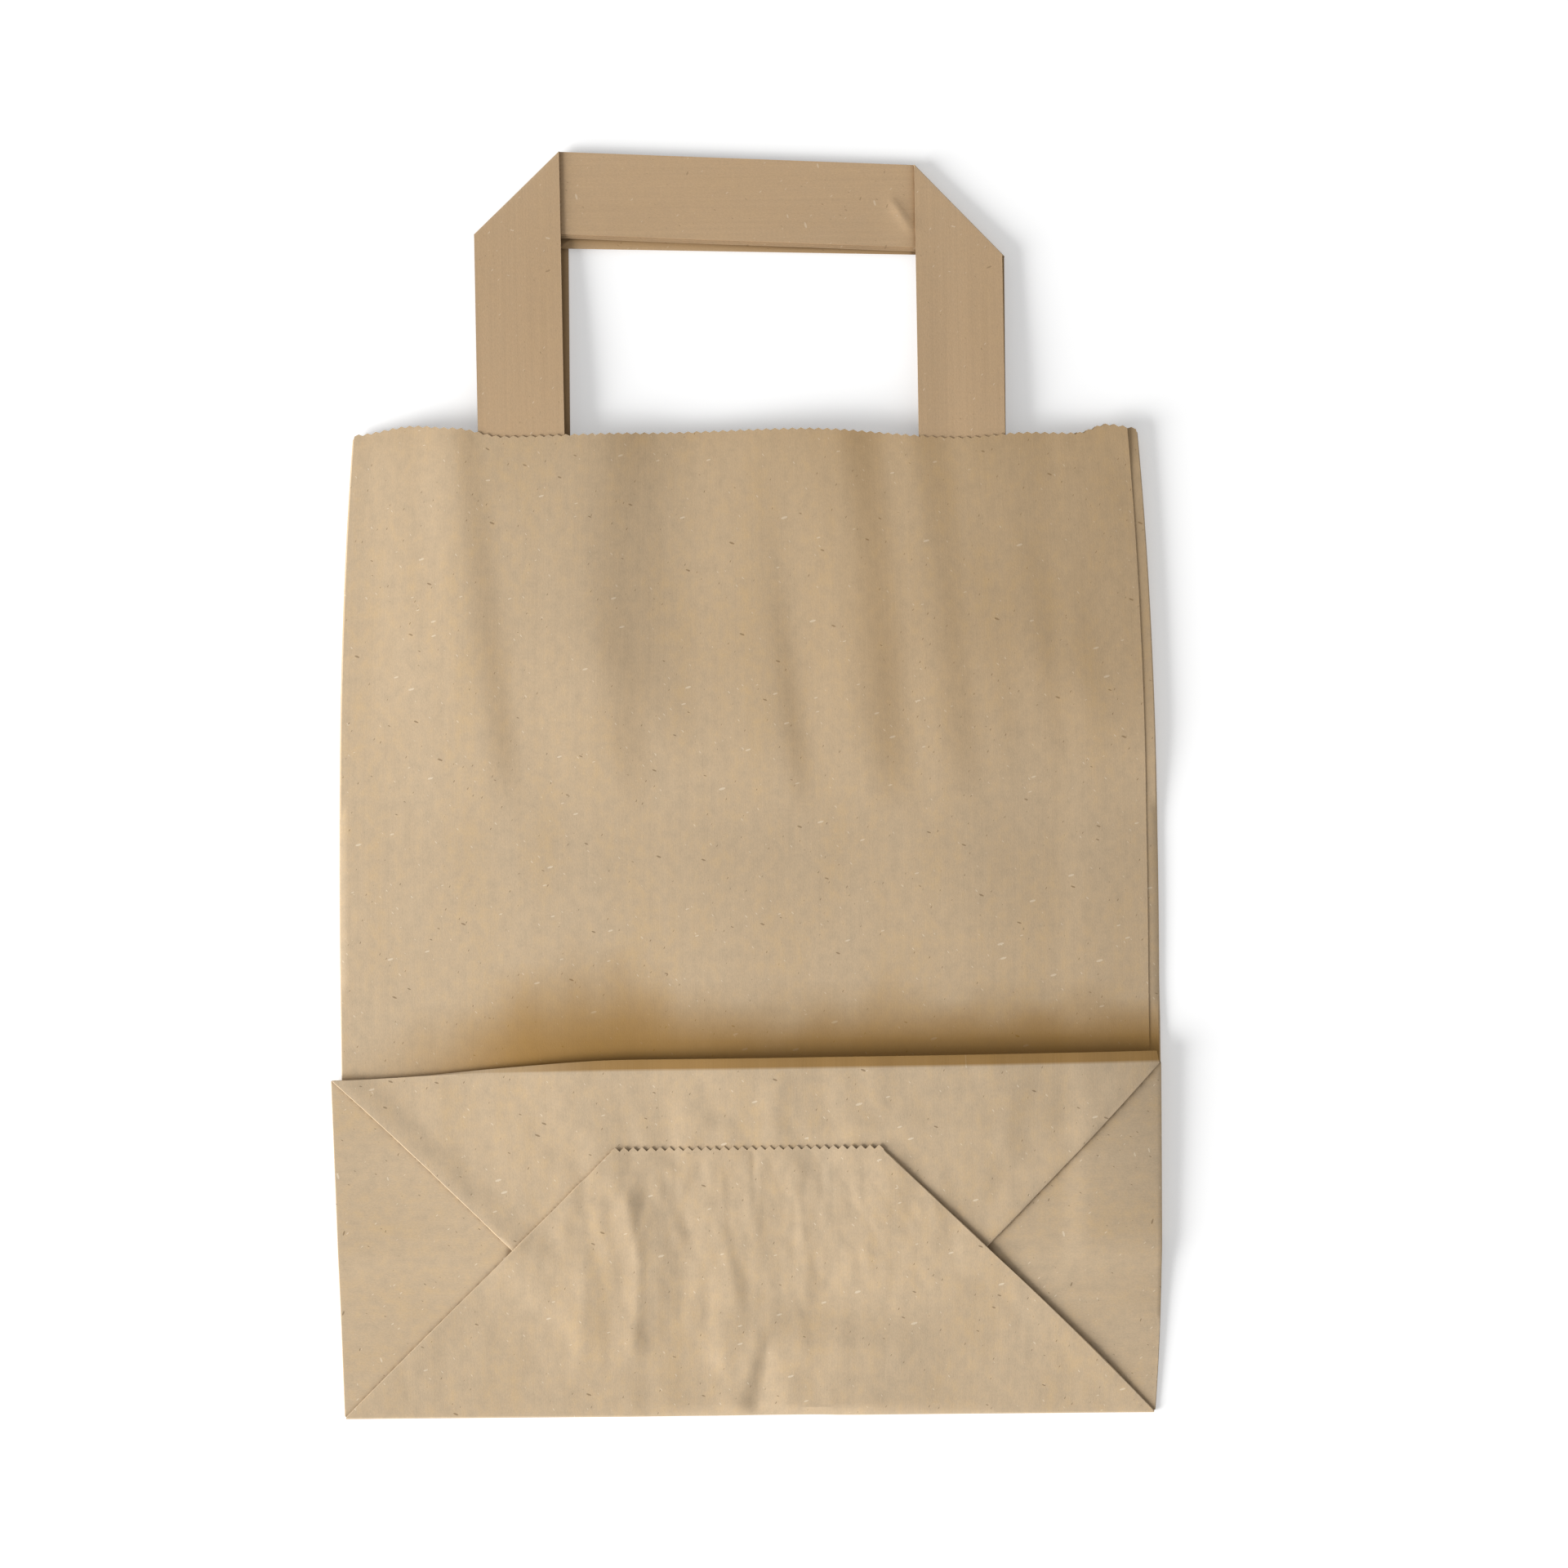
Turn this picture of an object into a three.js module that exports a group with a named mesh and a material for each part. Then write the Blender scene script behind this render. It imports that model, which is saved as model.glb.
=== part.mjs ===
// Kraft-paper carrier bag, folded flat, with its block bottom turned up over the front
// and two flat tape handles. Millimetres: X runs across the bag, Y from the bottom fold
// towards the handles, Z up from the surface that the back of the bag lies on.

import * as THREE from 'three';

// Driving dimensions of the bag
const BAG_WIDTH = 180;
const BAG_HEIGHT = 216;
const GUSSET_DEPTH = 75;
const FLAP_OVERLAP = 21.5;
const SEAM_LAP = 15;
const SEAM_SETBACK = 2.3;
const PAPER_THICKNESS = 0.13;
const TOOTH_PITCH = 2;
const TOOTH_DEPTH = 0.9;

// Driving dimensions of the handles and of the patches pasted over their legs
const TAPE_WIDTH = 19;
const TAPE_THICKNESS = 0.6;
const HANDLE_PITCH = 97;
const HANDLE_RISE = 60.4;
const HANDLE_DEPTH = 42;
const FRONT_SLANT = 3.6;
const FRONT_OFFSET = -1.3;
const REAR_SLANT = 2;
const REAR_SHIFT = 1.3;
const REAR_DROP = 1.4;
const PATCH_OVERHANG = 17;
const PATCH_SETBACK = 4;
const PATCH_MARGIN = 5;

// How the folded bag lies: the air between its layers and how far it springs open
const LAYER_GAP = 0.3;
const LAYER_MARGIN = 8;
const LAYER_EASE = 28;
const BAG_PUFF = 2.6;
const REAR_PUFF_SHARE = 0.35;
const BLOCK_SPRING = 3.4;
const UNDER_SPRING_SHARE = 0.55;
const MOUTH_PRESS = 0.6;
const MOUTH_WAVE = 0.8;
const MOUTH_WAVE_LENGTH = 64;
const MOUTH_WAVE_REACH = 75;
const MOUTH_DRAW_IN = 4;
const BLOCK_LEAN = 2.3;
const HANDLE_LIFT = 2.8;
const FOLD_SLACK = 0.8;

// Fineness of the facets
const WIDTH_STEPS = 14;
const LENGTH_STEPS = 13;
const GUSSET_STEPS = 6;
const BLOCK_STEPS = 8;
const UNDER_STEPS = 3;
const FLAP_STEPS = 8;
const TUCK_STEPS = 5;
const LAP_STEPS = 2;
const BEND_STEPS = 3;
const ROLL_STEPS = 6;
const TAPE_STEPS = 12;
const TAPE_WIDTH_STEPS = 3;
const EDGE_BAND = 0.4;

const PAPER_PITCH = PAPER_THICKNESS + LAYER_GAP;
const TAPE_PITCH = TAPE_THICKNESS + LAYER_GAP;
const FOLD_INSET = FOLD_SLACK * PAPER_PITCH;
const FOLD_BULGE = 2 * FOLD_INSET;
const ROLL_BULGE = BLOCK_SPRING / 2 + PAPER_PITCH;
const CUT_INSET = TOOTH_DEPTH + EDGE_BAND;

const HALF_WIDTH = BAG_WIDTH / 2;
const HALF_GUSSET = GUSSET_DEPTH / 2;
const FLAP_LENGTH = HALF_GUSSET + FLAP_OVERLAP;
const SEAM_EDGE = HALF_WIDTH - SEAM_SETBACK;
const UP = new THREE.Vector3(0, 0, 1);
const DOWN = new THREE.Vector3(0, 0, -1);

const { smoothstep, clamp, lerp } = THREE.MathUtils;

function outline(...points) {
  return points.map(([x, y]) => new THREE.Vector2(x, y));
}

function rectangle(left, bottom, right, top) {
  return outline([left, bottom], [right, bottom], [right, top], [left, top]);
}

function mirrored(corners) {
  return corners.map((corner) => new THREE.Vector2(-corner.x, corner.y));
}

function signedArea(corners) {
  const next = (i) => corners[(i + 1) % corners.length];
  return corners.reduce((sum, corner, i) => sum + corner.cross(next(i)) / 2, 0);
}

// Plan outlines of the panels between their creases, each with its corners in the order
// bottom left, bottom right, top right, top left. A triangle has one corner twice. Panels
// that come in pairs are given for the left-hand side.
const gussetFold = -HALF_WIDTH + HALF_GUSSET;
const flapEnd = -HALF_WIDTH + FLAP_LENGTH;
const lapEnd = -HALF_WIDTH + SEAM_LAP;

const wholePanels = {
  back: rectangle(-HALF_WIDTH, 0, HALF_WIDTH, BAG_HEIGHT),
  front: rectangle(-HALF_WIDTH, HALF_GUSSET, SEAM_EDGE, BAG_HEIGHT),
  frontUnder: rectangle(-HALF_WIDTH, HALF_GUSSET, SEAM_EDGE, GUSSET_DEPTH),
  frontFlap: outline(
    [-HALF_WIDTH, GUSSET_DEPTH],
    [HALF_WIDTH, GUSSET_DEPTH],
    [-flapEnd, GUSSET_DEPTH - FLAP_LENGTH],
    [flapEnd, GUSSET_DEPTH - FLAP_LENGTH],
  ),
  backFlap: outline(
    [-HALF_WIDTH, 0],
    [HALF_WIDTH, 0],
    [-flapEnd, FLAP_LENGTH],
    [flapEnd, FLAP_LENGTH],
  ),
  seamLap: mirrored(rectangle(-HALF_WIDTH, HALF_GUSSET, lapEnd, BAG_HEIGHT)),
  seamLapUnder: mirrored(rectangle(-HALF_WIDTH, HALF_GUSSET, lapEnd, GUSSET_DEPTH)),
};

const pairedPanels = {
  gussetBack: outline(
    [-HALF_WIDTH, 0],
    [gussetFold, HALF_GUSSET],
    [gussetFold, BAG_HEIGHT],
    [-HALF_WIDTH, BAG_HEIGHT],
  ),
  gussetFront: rectangle(-HALF_WIDTH, HALF_GUSSET, gussetFold, BAG_HEIGHT),
  cornerUnder: outline(
    [-HALF_WIDTH, HALF_GUSSET],
    [gussetFold, HALF_GUSSET],
    [gussetFold, HALF_GUSSET],
    [-HALF_WIDTH, GUSSET_DEPTH],
  ),
  cornerOver: outline(
    [-HALF_WIDTH, 0],
    [gussetFold, HALF_GUSSET],
    [gussetFold, HALF_GUSSET],
    [-HALF_WIDTH, GUSSET_DEPTH],
  ),
  endFlap: rectangle(-HALF_WIDTH, 0, flapEnd, GUSSET_DEPTH),
  frontTuck: outline(
    [-HALF_WIDTH, GUSSET_DEPTH],
    [flapEnd, GUSSET_DEPTH - FLAP_LENGTH],
    [flapEnd, GUSSET_DEPTH],
    [-HALF_WIDTH, GUSSET_DEPTH],
  ),
  backTuck: outline([-HALF_WIDTH, 0], [flapEnd, 0], [flapEnd, FLAP_LENGTH], [-HALF_WIDTH, 0]),
};

// Plan of one handle: two upright legs and a slanting bar, folded where they cross
function handlePlan(offset, rise, slant) {
  const innerHalf = (HANDLE_PITCH - TAPE_WIDTH) / 2;
  const outerHalf = (HANDLE_PITCH + TAPE_WIDTH) / 2;
  const barSlope = Math.atan2(-slant, 2 * innerHalf);
  const leftTop = BAG_HEIGHT + rise + slant / 2;
  const rightTop = BAG_HEIGHT + rise - slant / 2;
  const legEnd = BAG_HEIGHT - HANDLE_DEPTH;
  const leftOuter = [offset - outerHalf, leftTop - TAPE_WIDTH * Math.tan((Math.PI / 2 + barSlope) / 2)];
  const rightOuter = [offset + outerHalf, rightTop - TAPE_WIDTH * Math.tan((Math.PI / 2 - barSlope) / 2)];
  const leftInner = [offset - innerHalf, leftTop];
  const rightInner = [offset + innerHalf, rightTop];
  return {
    leftLeg: outline([offset - outerHalf, legEnd], [offset - innerHalf, legEnd], leftInner, leftOuter),
    rightLeg: outline([offset + innerHalf, legEnd], [offset + outerHalf, legEnd], rightOuter, rightInner),
    bar: outline(leftOuter, rightOuter, rightInner, leftInner),
  };
}

function patchPlan(offset) {
  const half = (HANDLE_PITCH + TAPE_WIDTH) / 2 + PATCH_OVERHANG;
  const bottom = BAG_HEIGHT - HANDLE_DEPTH - PATCH_MARGIN;
  return rectangle(offset - half, bottom, offset + half, BAG_HEIGHT - PATCH_SETBACK);
}

const REAR_OFFSET = FRONT_OFFSET + REAR_SHIFT;
const frontHandlePlan = handlePlan(FRONT_OFFSET, HANDLE_RISE, FRONT_SLANT);
const rearHandlePlan = handlePlan(REAR_OFFSET, HANDLE_RISE - REAR_DROP, REAR_SLANT);

// The paper springs open between the back and the gussets, between the gussets and the front,
// and inside the turned-up block. Nothing springs at the side creases or at the bottom fold.
function bagSpring(x, y) {
  const across = 1 - clamp(Math.abs(x) / HALF_WIDTH, 0, 1) ** 2;
  const pressed = MOUTH_PRESS * smoothstep(y, BAG_HEIGHT - MOUTH_WAVE_REACH, BAG_HEIGHT);
  return BAG_PUFF * across * smoothstep(y, 0, GUSSET_DEPTH) * (1 - pressed);
}

function mouthWave(x, y) {
  const ripple = (1 + Math.cos((2 * Math.PI * x) / MOUTH_WAVE_LENGTH)) / 2;
  const across = 1 - clamp(Math.abs(x) / HALF_WIDTH, 0, 1) ** 2;
  return MOUTH_WAVE * ripple * across * smoothstep(y, BAG_HEIGHT - MOUTH_WAVE_REACH, BAG_HEIGHT);
}

function blockSpring(x, y) {
  const towardsRight = smoothstep(x, -HALF_WIDTH, HALF_WIDTH / 3);
  const pinched = 1 - clamp(Math.abs(x) / HALF_WIDTH, 0, 1) ** 4;
  return BLOCK_SPRING * towardsRight * pinched * smoothstep(y, 0, GUSSET_DEPTH);
}

// The layers of the flat bag from the surface upwards. Each holds up the layers above it over
// its outlines and a margin, and past that they ease down.
function bothSides(name) {
  return [pairedPanels[name], mirrored(pairedPanels[name])];
}

const layers = [
  { name: 'back', covers: [wholePanels.back] },
  { name: 'rearLegs', covers: [rearHandlePlan.leftLeg, rearHandlePlan.rightLeg], pitch: TAPE_PITCH },
  {
    name: 'rearPatch',
    covers: [patchPlan(REAR_OFFSET)],
    spring: (x, y) => REAR_PUFF_SHARE * bagSpring(x, y),
  },
  { name: 'gussetBack', covers: bothSides('gussetBack') },
  {
    name: 'gussetFront',
    covers: bothSides('gussetFront'),
    spring: (x, y) => (1 - REAR_PUFF_SHARE) * bagSpring(x, y) + mouthWave(x, y),
  },
  { name: 'frontPatch', covers: [patchPlan(FRONT_OFFSET)] },
  { name: 'frontLegs', covers: [frontHandlePlan.leftLeg, frontHandlePlan.rightLeg], pitch: TAPE_PITCH },
  { name: 'seamLap', covers: [wholePanels.seamLap] },
  { name: 'front', covers: [wholePanels.front] },
  { name: 'frontUnder', covers: [wholePanels.frontUnder] },
  {
    name: 'seamLapUnder',
    covers: [wholePanels.seamLapUnder],
    spring: (x, y) => UNDER_SPRING_SHARE * blockSpring(x, y),
  },
  { name: 'cornerUnder', covers: bothSides('cornerUnder') },
  {
    name: 'cornerOver',
    covers: bothSides('cornerOver'),
    spring: (x, y) => (1 - UNDER_SPRING_SHARE) * blockSpring(x, y),
  },
  { name: 'endFlap', covers: bothSides('endFlap') },
  { name: 'frontTuck', covers: bothSides('frontTuck') },
  { name: 'frontFlap', covers: [wholePanels.frontFlap] },
  { name: 'backTuck', covers: bothSides('backTuck') },
  { name: 'backFlap', covers: [wholePanels.backFlap] },
];

const blockLayers = layers.slice(layers.findIndex((layer) => layer.name === 'frontUnder'));

function distanceOutside(corners, x, y) {
  const turn = Math.sign(signedArea(corners));
  let furthest = 0;
  corners.forEach((start, i) => {
    const along = corners[(i + 1) % corners.length].clone().sub(start);
    if (along.length() === 0) return;
    const outwards = new THREE.Vector2(along.y, -along.x).normalize().multiplyScalar(turn);
    furthest = Math.max(furthest, outwards.x * (x - start.x) + outwards.y * (y - start.y));
  });
  return furthest;
}

function layerHeight(name, x, y) {
  let height = 0;
  for (const layer of layers) {
    const pitch = layer.pitch ?? PAPER_PITCH;
    if (layer.name === name) return height + (pitch - LAYER_GAP) / 2;
    const outside = Math.min(...layer.covers.map((corners) => distanceOutside(corners, x, y)));
    height += pitch * (1 - smoothstep(outside, LAYER_MARGIN, LAYER_MARGIN + LAYER_EASE));
    height += layer.spring?.(x, y) ?? 0;
  }
  throw new Error(`no layer is called ${name}`);
}

// The sides draw in towards the mouth, and the block's left-hand creases lean outwards
function drawIn(y) {
  const up = clamp((y - GUSSET_DEPTH) / (BAG_HEIGHT - GUSSET_DEPTH), 0, 1);
  return 1 - (MOUTH_DRAW_IN / HALF_WIDTH) * up ** 3;
}

function lean(x, y) {
  return (BLOCK_LEAN * (y / GUSSET_DEPTH) * (HALF_WIDTH - x)) / BAG_WIDTH;
}

function placeInLayer(name) {
  const leans = blockLayers.some((layer) => layer.name === name);
  return (x, y) => {
    const shift = leans ? lean(x, y) : 0;
    return new THREE.Vector3(x * drawIn(y) - shift, y, layerHeight(name, x, y));
  };
}

// Inside the bag the tape lies in its layer. Past the mouth it runs level to its far height.
function placeTape(name, farHeight, raise) {
  return (x, y) => {
    const inside = Math.min(y, BAG_HEIGHT);
    const start = layerHeight(name, x / drawIn(inside), inside);
    const out = clamp((y - BAG_HEIGHT) / HANDLE_RISE, 0, 1);
    return new THREE.Vector3(x, y, lerp(start, farHeight, out) + raise);
  };
}

const SIDES = ['bottom', 'right', 'top', 'left'];

function lineCrossing(first, second) {
  const between = second.point.clone().sub(first.point);
  const share = between.cross(second.along) / first.along.cross(second.along);
  return first.point.clone().addScaledVector(first.along, share);
}

// The corners of an outline after each side has moved inwards by its own distance
function insetCorners(corners, inset) {
  const turn = Math.sign(signedArea(corners));
  const lines = SIDES.map((side, i) => {
    const along = corners[(i + 1) % 4].clone().sub(corners[i]);
    if (along.length() === 0) return null;
    const inwards = new THREE.Vector2(-along.y, along.x).normalize().multiplyScalar(turn);
    return { point: corners[i].clone().addScaledVector(inwards, inset[side] ?? 0), along };
  });
  return corners.map((corner, i) => {
    const before = lines[(i + 3) % 4] ?? lines[(i + 2) % 4];
    const after = lines[i] ?? lines[(i + 1) % 4];
    return lineCrossing(before, after);
  });
}

// A sheet folded from panels. Its middle surface is a grid of points for each panel and a
// half-round strip for each fold, and the sheet is that surface thickened to both sides.
class FoldedSheet {
  constructor(thickness) {
    this.thickness = thickness;
    this.points = [];
    this.faces = [];
    this.panels = new Map();
  }

  addPoint(point) {
    return this.points.push(point) - 1;
  }

  faceNormal(face) {
    const [a, b, c, d] = face.map((index) => this.points[index]);
    const first = c.clone().sub(a);
    const second = d ? d.clone().sub(b) : c.clone().sub(b);
    return first.cross(second);
  }

  addFace(corners, facing) {
    const face = corners.filter((corner, i) => corner !== corners[(i + 1) % corners.length]);
    if (face.length < 3) return;
    if (this.faceNormal(face).dot(facing) < 0) face.reverse();
    this.faces.push(face);
  }

  addPanel(name, { corners, place, columns, rows, outerUp, inset = {}, teeth = [] }) {
    const allInsets = { ...inset };
    for (const side of teeth) {
      allInsets[side] = CUT_INSET;
    }
    const [bottomLeft, bottomRight, topRight, topLeft] = insetCorners(corners, allInsets);
    const facing = outerUp ? UP : DOWN;
    const known = new Map();
    const grid = [];
    for (let j = 0; j <= rows; j += 1) {
      const start = bottomLeft.clone().lerp(topLeft, j / rows);
      const end = bottomRight.clone().lerp(topRight, j / rows);
      grid.push([]);
      for (let i = 0; i <= columns; i += 1) {
        const spot = start.clone().lerp(end, i / columns);
        const key = `${spot.x.toFixed(6)} ${spot.y.toFixed(6)}`;
        if (!known.has(key)) known.set(key, this.addPoint(place(spot.x, spot.y)));
        grid[j].push(known.get(key));
      }
    }
    for (let j = 0; j < rows; j += 1) {
      for (let i = 0; i < columns; i += 1) {
        this.addFace([grid[j][i], grid[j][i + 1], grid[j + 1][i + 1], grid[j + 1][i]], facing);
      }
    }
    const edges = {
      bottom: { row: grid[0], ends: [bottomLeft, bottomRight] },
      top: { row: grid[rows], ends: [topLeft, topRight] },
      left: { row: grid.map((line) => line[0]), ends: [bottomLeft, topLeft] },
      right: { row: grid.map((line) => line[columns]), ends: [bottomRight, topRight] },
    };
    const centre = bottomLeft.clone().add(bottomRight).add(topRight).add(topLeft).divideScalar(4);
    for (const edge of Object.values(edges)) {
      const along = edge.ends[1].clone().sub(edge.ends[0]);
      edge.outwards = new THREE.Vector2(along.y, -along.x).normalize();
      if (edge.outwards.dot(centre.clone().sub(edge.ends[0])) > 0) edge.outwards.negate();
    }
    const panel = { edges, outerUp, place, facing };
    this.panels.set(name, panel);
    for (const side of teeth) {
      this.addTeeth(panel, side);
    }
  }

  // Saw teeth left by the knife that cut the web of paper
  addTeeth(panel, side) {
    const { row, ends, outwards } = panel.edges[side];
    const count = Math.max(1, Math.round(ends[0].distanceTo(ends[1]) / TOOTH_PITCH));
    const pointAt = (share, reach) => {
      const spot = ends[0].clone().lerp(ends[1], share).addScaledVector(outwards, reach);
      return this.addPoint(panel.place(spot.x, spot.y));
    };
    const roots = [];
    for (let k = 0; k <= count; k += 1) {
      roots.push(pointAt(k / count, EDGE_BAND));
    }
    this.zip(row, roots, panel.facing);
    for (let k = 0; k < count; k += 1) {
      const tip = pointAt((k + 0.5) / count, EDGE_BAND + TOOTH_DEPTH);
      this.addFace([roots[k], tip, roots[k + 1]], panel.facing);
    }
  }

  zip(coarse, fine, facing) {
    let i = 0;
    let k = 0;
    while (i < coarse.length - 1 || k < fine.length - 1) {
      const coarseNext = (i + 1) / (coarse.length - 1);
      const fineNext = (k + 1) / (fine.length - 1);
      const stepCoarse = i < coarse.length - 1 && coarseNext <= fineNext;
      if (stepCoarse || k === fine.length - 1) {
        this.addFace([coarse[i], fine[k], coarse[i + 1]], facing);
        i += 1;
      } else {
        this.addFace([coarse[i], fine[k], fine[k + 1]], facing);
        k += 1;
      }
    }
  }

  // A fold joins one side of a panel to one side of another that lies above or below it
  addFold(firstName, firstSide, secondName, secondSide, widestBulge, steps = BEND_STEPS) {
    const first = this.panels.get(firstName);
    const second = this.panels.get(secondName);
    const firstRow = first.edges[firstSide].row;
    const secondRow = [...second.edges[secondSide].row];
    const at = (index) => this.points[index];
    const sameWay = at(firstRow[0]).distanceTo(at(secondRow[0]));
    if (sameWay > at(firstRow[0]).distanceTo(at(secondRow.at(-1)))) secondRow.reverse();
    const { x, y } = first.edges[firstSide].outwards;
    const outwards = new THREE.Vector3(x, y, 0);
    const middles = firstRow.map((index, i) => at(index).clone().lerp(at(secondRow[i]), 0.5));
    const rows = [firstRow];
    for (let k = 1; k < steps; k += 1) {
      const angle = (Math.PI * k) / steps;
      const row = firstRow.map((index, i) => {
        const half = at(index).clone().sub(middles[i]);
        const bulge = Math.min(Math.abs(half.z), widestBulge) * Math.sin(angle);
        const point = middles[i].clone().addScaledVector(half, Math.cos(angle));
        return this.addPoint(point.addScaledVector(outwards, bulge));
      });
      rows.push(row);
    }
    rows.push(secondRow);
    const lower = at(firstRow[0]).z < at(secondRow[0]).z ? first : second;
    const outerSide = lower.outerUp ? -1 : 1;
    for (let k = 0; k < steps; k += 1) {
      for (let i = 0; i < firstRow.length - 1; i += 1) {
        const corners = [rows[k][i], rows[k][i + 1], rows[k + 1][i + 1], rows[k + 1][i]];
        const centre = new THREE.Vector3();
        corners.forEach((corner) => centre.addScaledVector(at(corner), 1 / 4));
        centre.sub(middles[i].clone().lerp(middles[i + 1], 0.5));
        this.addFace(corners, centre.multiplyScalar(outerSide));
      }
    }
  }

  toGeometry() {
    const normals = this.points.map(() => new THREE.Vector3());
    const onward = new Set();
    for (const face of this.faces) {
      const normal = this.faceNormal(face);
      face.forEach((corner, i) => {
        normals[corner].add(normal);
        onward.add(`${corner} ${face[(i + 1) % face.length]}`);
      });
    }
    const half = this.thickness / 2;
    const count = this.points.length;
    const skins = [half, -half].flatMap((offset) =>
      this.points.map((point, i) => point.clone().addScaledVector(normals[i].normalize(), offset)),
    );
    const triangles = [];
    for (const face of this.faces) {
      for (let i = 1; i < face.length - 1; i += 1) {
        triangles.push(face[0], face[i], face[i + 1]);
        triangles.push(face[0] + count, face[i + 1] + count, face[i] + count);
      }
      face.forEach((corner, i) => {
        const next = face[(i + 1) % face.length];
        if (onward.has(`${next} ${corner}`)) return;
        triangles.push(next, corner, corner + count);
        triangles.push(next, corner + count, next + count);
      });
    }
    const geometry = new THREE.BufferGeometry().setFromPoints(skins);
    geometry.setIndex(triangles);
    geometry.computeVertexNormals();
    return geometry;
  }
}

// The bag is one sheet. Each fold gives the two panels and sides that it joins, and how
// many folds it lies inside of on the same crease line.
function pairedFolds(hand) {
  const side = hand.toLowerCase();
  const onSeam = hand === 'Right';
  return [
    { first: 'back', firstSide: side, second: `gussetBack${hand}`, secondSide: 'left' },
    { first: `gussetBack${hand}`, firstSide: 'right', second: `gussetFront${hand}`, secondSide: 'right' },
    {
      first: `gussetFront${hand}`,
      firstSide: 'left',
      second: onSeam ? 'seamLap' : 'front',
      secondSide: 'left',
    },
    {
      first: `cornerUnder${hand}`,
      firstSide: 'left',
      second: onSeam ? 'seamLapUnder' : 'frontUnder',
      secondSide: 'left',
    },
    {
      first: `gussetFront${hand}`,
      firstSide: 'bottom',
      second: `cornerUnder${hand}`,
      secondSide: 'bottom',
      nested: 3,
    },
    { first: `gussetBack${hand}`, firstSide: 'bottom', second: `cornerOver${hand}`, secondSide: 'bottom' },
    { first: `cornerUnder${hand}`, firstSide: 'top', second: `cornerOver${hand}`, secondSide: 'top' },
    { first: `cornerOver${hand}`, firstSide: 'left', second: `endFlap${hand}`, secondSide: 'left' },
    { first: `endFlap${hand}`, firstSide: 'top', second: `frontTuck${hand}`, secondSide: 'top', nested: 1 },
    {
      first: `endFlap${hand}`,
      firstSide: 'bottom',
      second: `backTuck${hand}`,
      secondSide: 'bottom',
      nested: 1,
    },
    { first: `frontTuck${hand}`, firstSide: 'bottom', second: 'frontFlap', secondSide: side },
    { first: `backTuck${hand}`, firstSide: 'top', second: 'backFlap', secondSide: side },
  ];
}

const bagFolds = [
  { first: 'back', firstSide: 'bottom', second: 'backFlap', secondSide: 'bottom' },
  { first: 'front', firstSide: 'bottom', second: 'frontUnder', secondSide: 'bottom', nested: 3 },
  {
    first: 'seamLap',
    firstSide: 'bottom',
    second: 'seamLapUnder',
    secondSide: 'bottom',
    nested: 3,
    bulge: PAPER_PITCH,
  },
  {
    first: 'frontUnder',
    firstSide: 'top',
    second: 'frontFlap',
    secondSide: 'bottom',
    bulge: ROLL_BULGE,
    steps: ROLL_STEPS,
  },
  ...pairedFolds('Left'),
  ...pairedFolds('Right'),
];

const panelGrids = {
  back: { columns: WIDTH_STEPS, rows: LENGTH_STEPS, outerUp: false, teeth: ['top'] },
  gussetBack: { columns: GUSSET_STEPS, rows: LENGTH_STEPS, outerUp: true, teeth: ['top'] },
  gussetFront: { columns: GUSSET_STEPS, rows: LENGTH_STEPS, outerUp: false, teeth: ['top'] },
  seamLap: { columns: LAP_STEPS, rows: LENGTH_STEPS, outerUp: true, teeth: ['top'] },
  front: { columns: WIDTH_STEPS, rows: LENGTH_STEPS, outerUp: true, teeth: ['top'] },
  frontUnder: { columns: WIDTH_STEPS, rows: UNDER_STEPS, outerUp: false },
  seamLapUnder: { columns: LAP_STEPS, rows: UNDER_STEPS, outerUp: false, inset: { top: 2 * FOLD_INSET } },
  cornerUnder: { columns: GUSSET_STEPS, rows: UNDER_STEPS, outerUp: true },
  cornerOver: { columns: GUSSET_STEPS, rows: BLOCK_STEPS, outerUp: false },
  endFlap: { columns: FLAP_STEPS, rows: BLOCK_STEPS, outerUp: true, inset: { right: CUT_INSET } },
  frontTuck: { columns: FLAP_STEPS, rows: TUCK_STEPS, outerUp: false, inset: { right: CUT_INSET } },
  frontFlap: { columns: WIDTH_STEPS, rows: FLAP_STEPS, outerUp: true, teeth: ['top'] },
  backTuck: { columns: FLAP_STEPS, rows: TUCK_STEPS, outerUp: false, inset: { right: CUT_INSET } },
  backFlap: { columns: WIDTH_STEPS, rows: FLAP_STEPS, outerUp: true, teeth: ['top'] },
};

function foldInsets(panelName) {
  const inset = {};
  for (const { first, firstSide, second, secondSide, nested = 0 } of bagFolds) {
    if (first === panelName) inset[firstSide] = FOLD_INSET * (1 + nested);
    if (second === panelName) inset[secondSide] = FOLD_INSET * (1 + nested);
  }
  return inset;
}

function bagBody() {
  const sheet = new FoldedSheet(PAPER_THICKNESS);
  const addPanel = (name, layer, corners) => {
    const grid = panelGrids[layer];
    const inset = { ...grid.inset, ...foldInsets(name) };
    sheet.addPanel(name, { ...grid, corners, inset, place: placeInLayer(layer) });
  };
  for (const [layer, corners] of Object.entries(wholePanels)) {
    addPanel(layer, layer, corners);
  }
  for (const [layer, corners] of Object.entries(pairedPanels)) {
    addPanel(`${layer}Left`, layer, corners);
    addPanel(`${layer}Right`, layer, mirrored(corners));
  }
  for (const { first, firstSide, second, secondSide, bulge = FOLD_BULGE, steps } of bagFolds) {
    sheet.addFold(first, firstSide, second, secondSide, bulge, steps);
  }
  return sheet.toGeometry();
}

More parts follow.
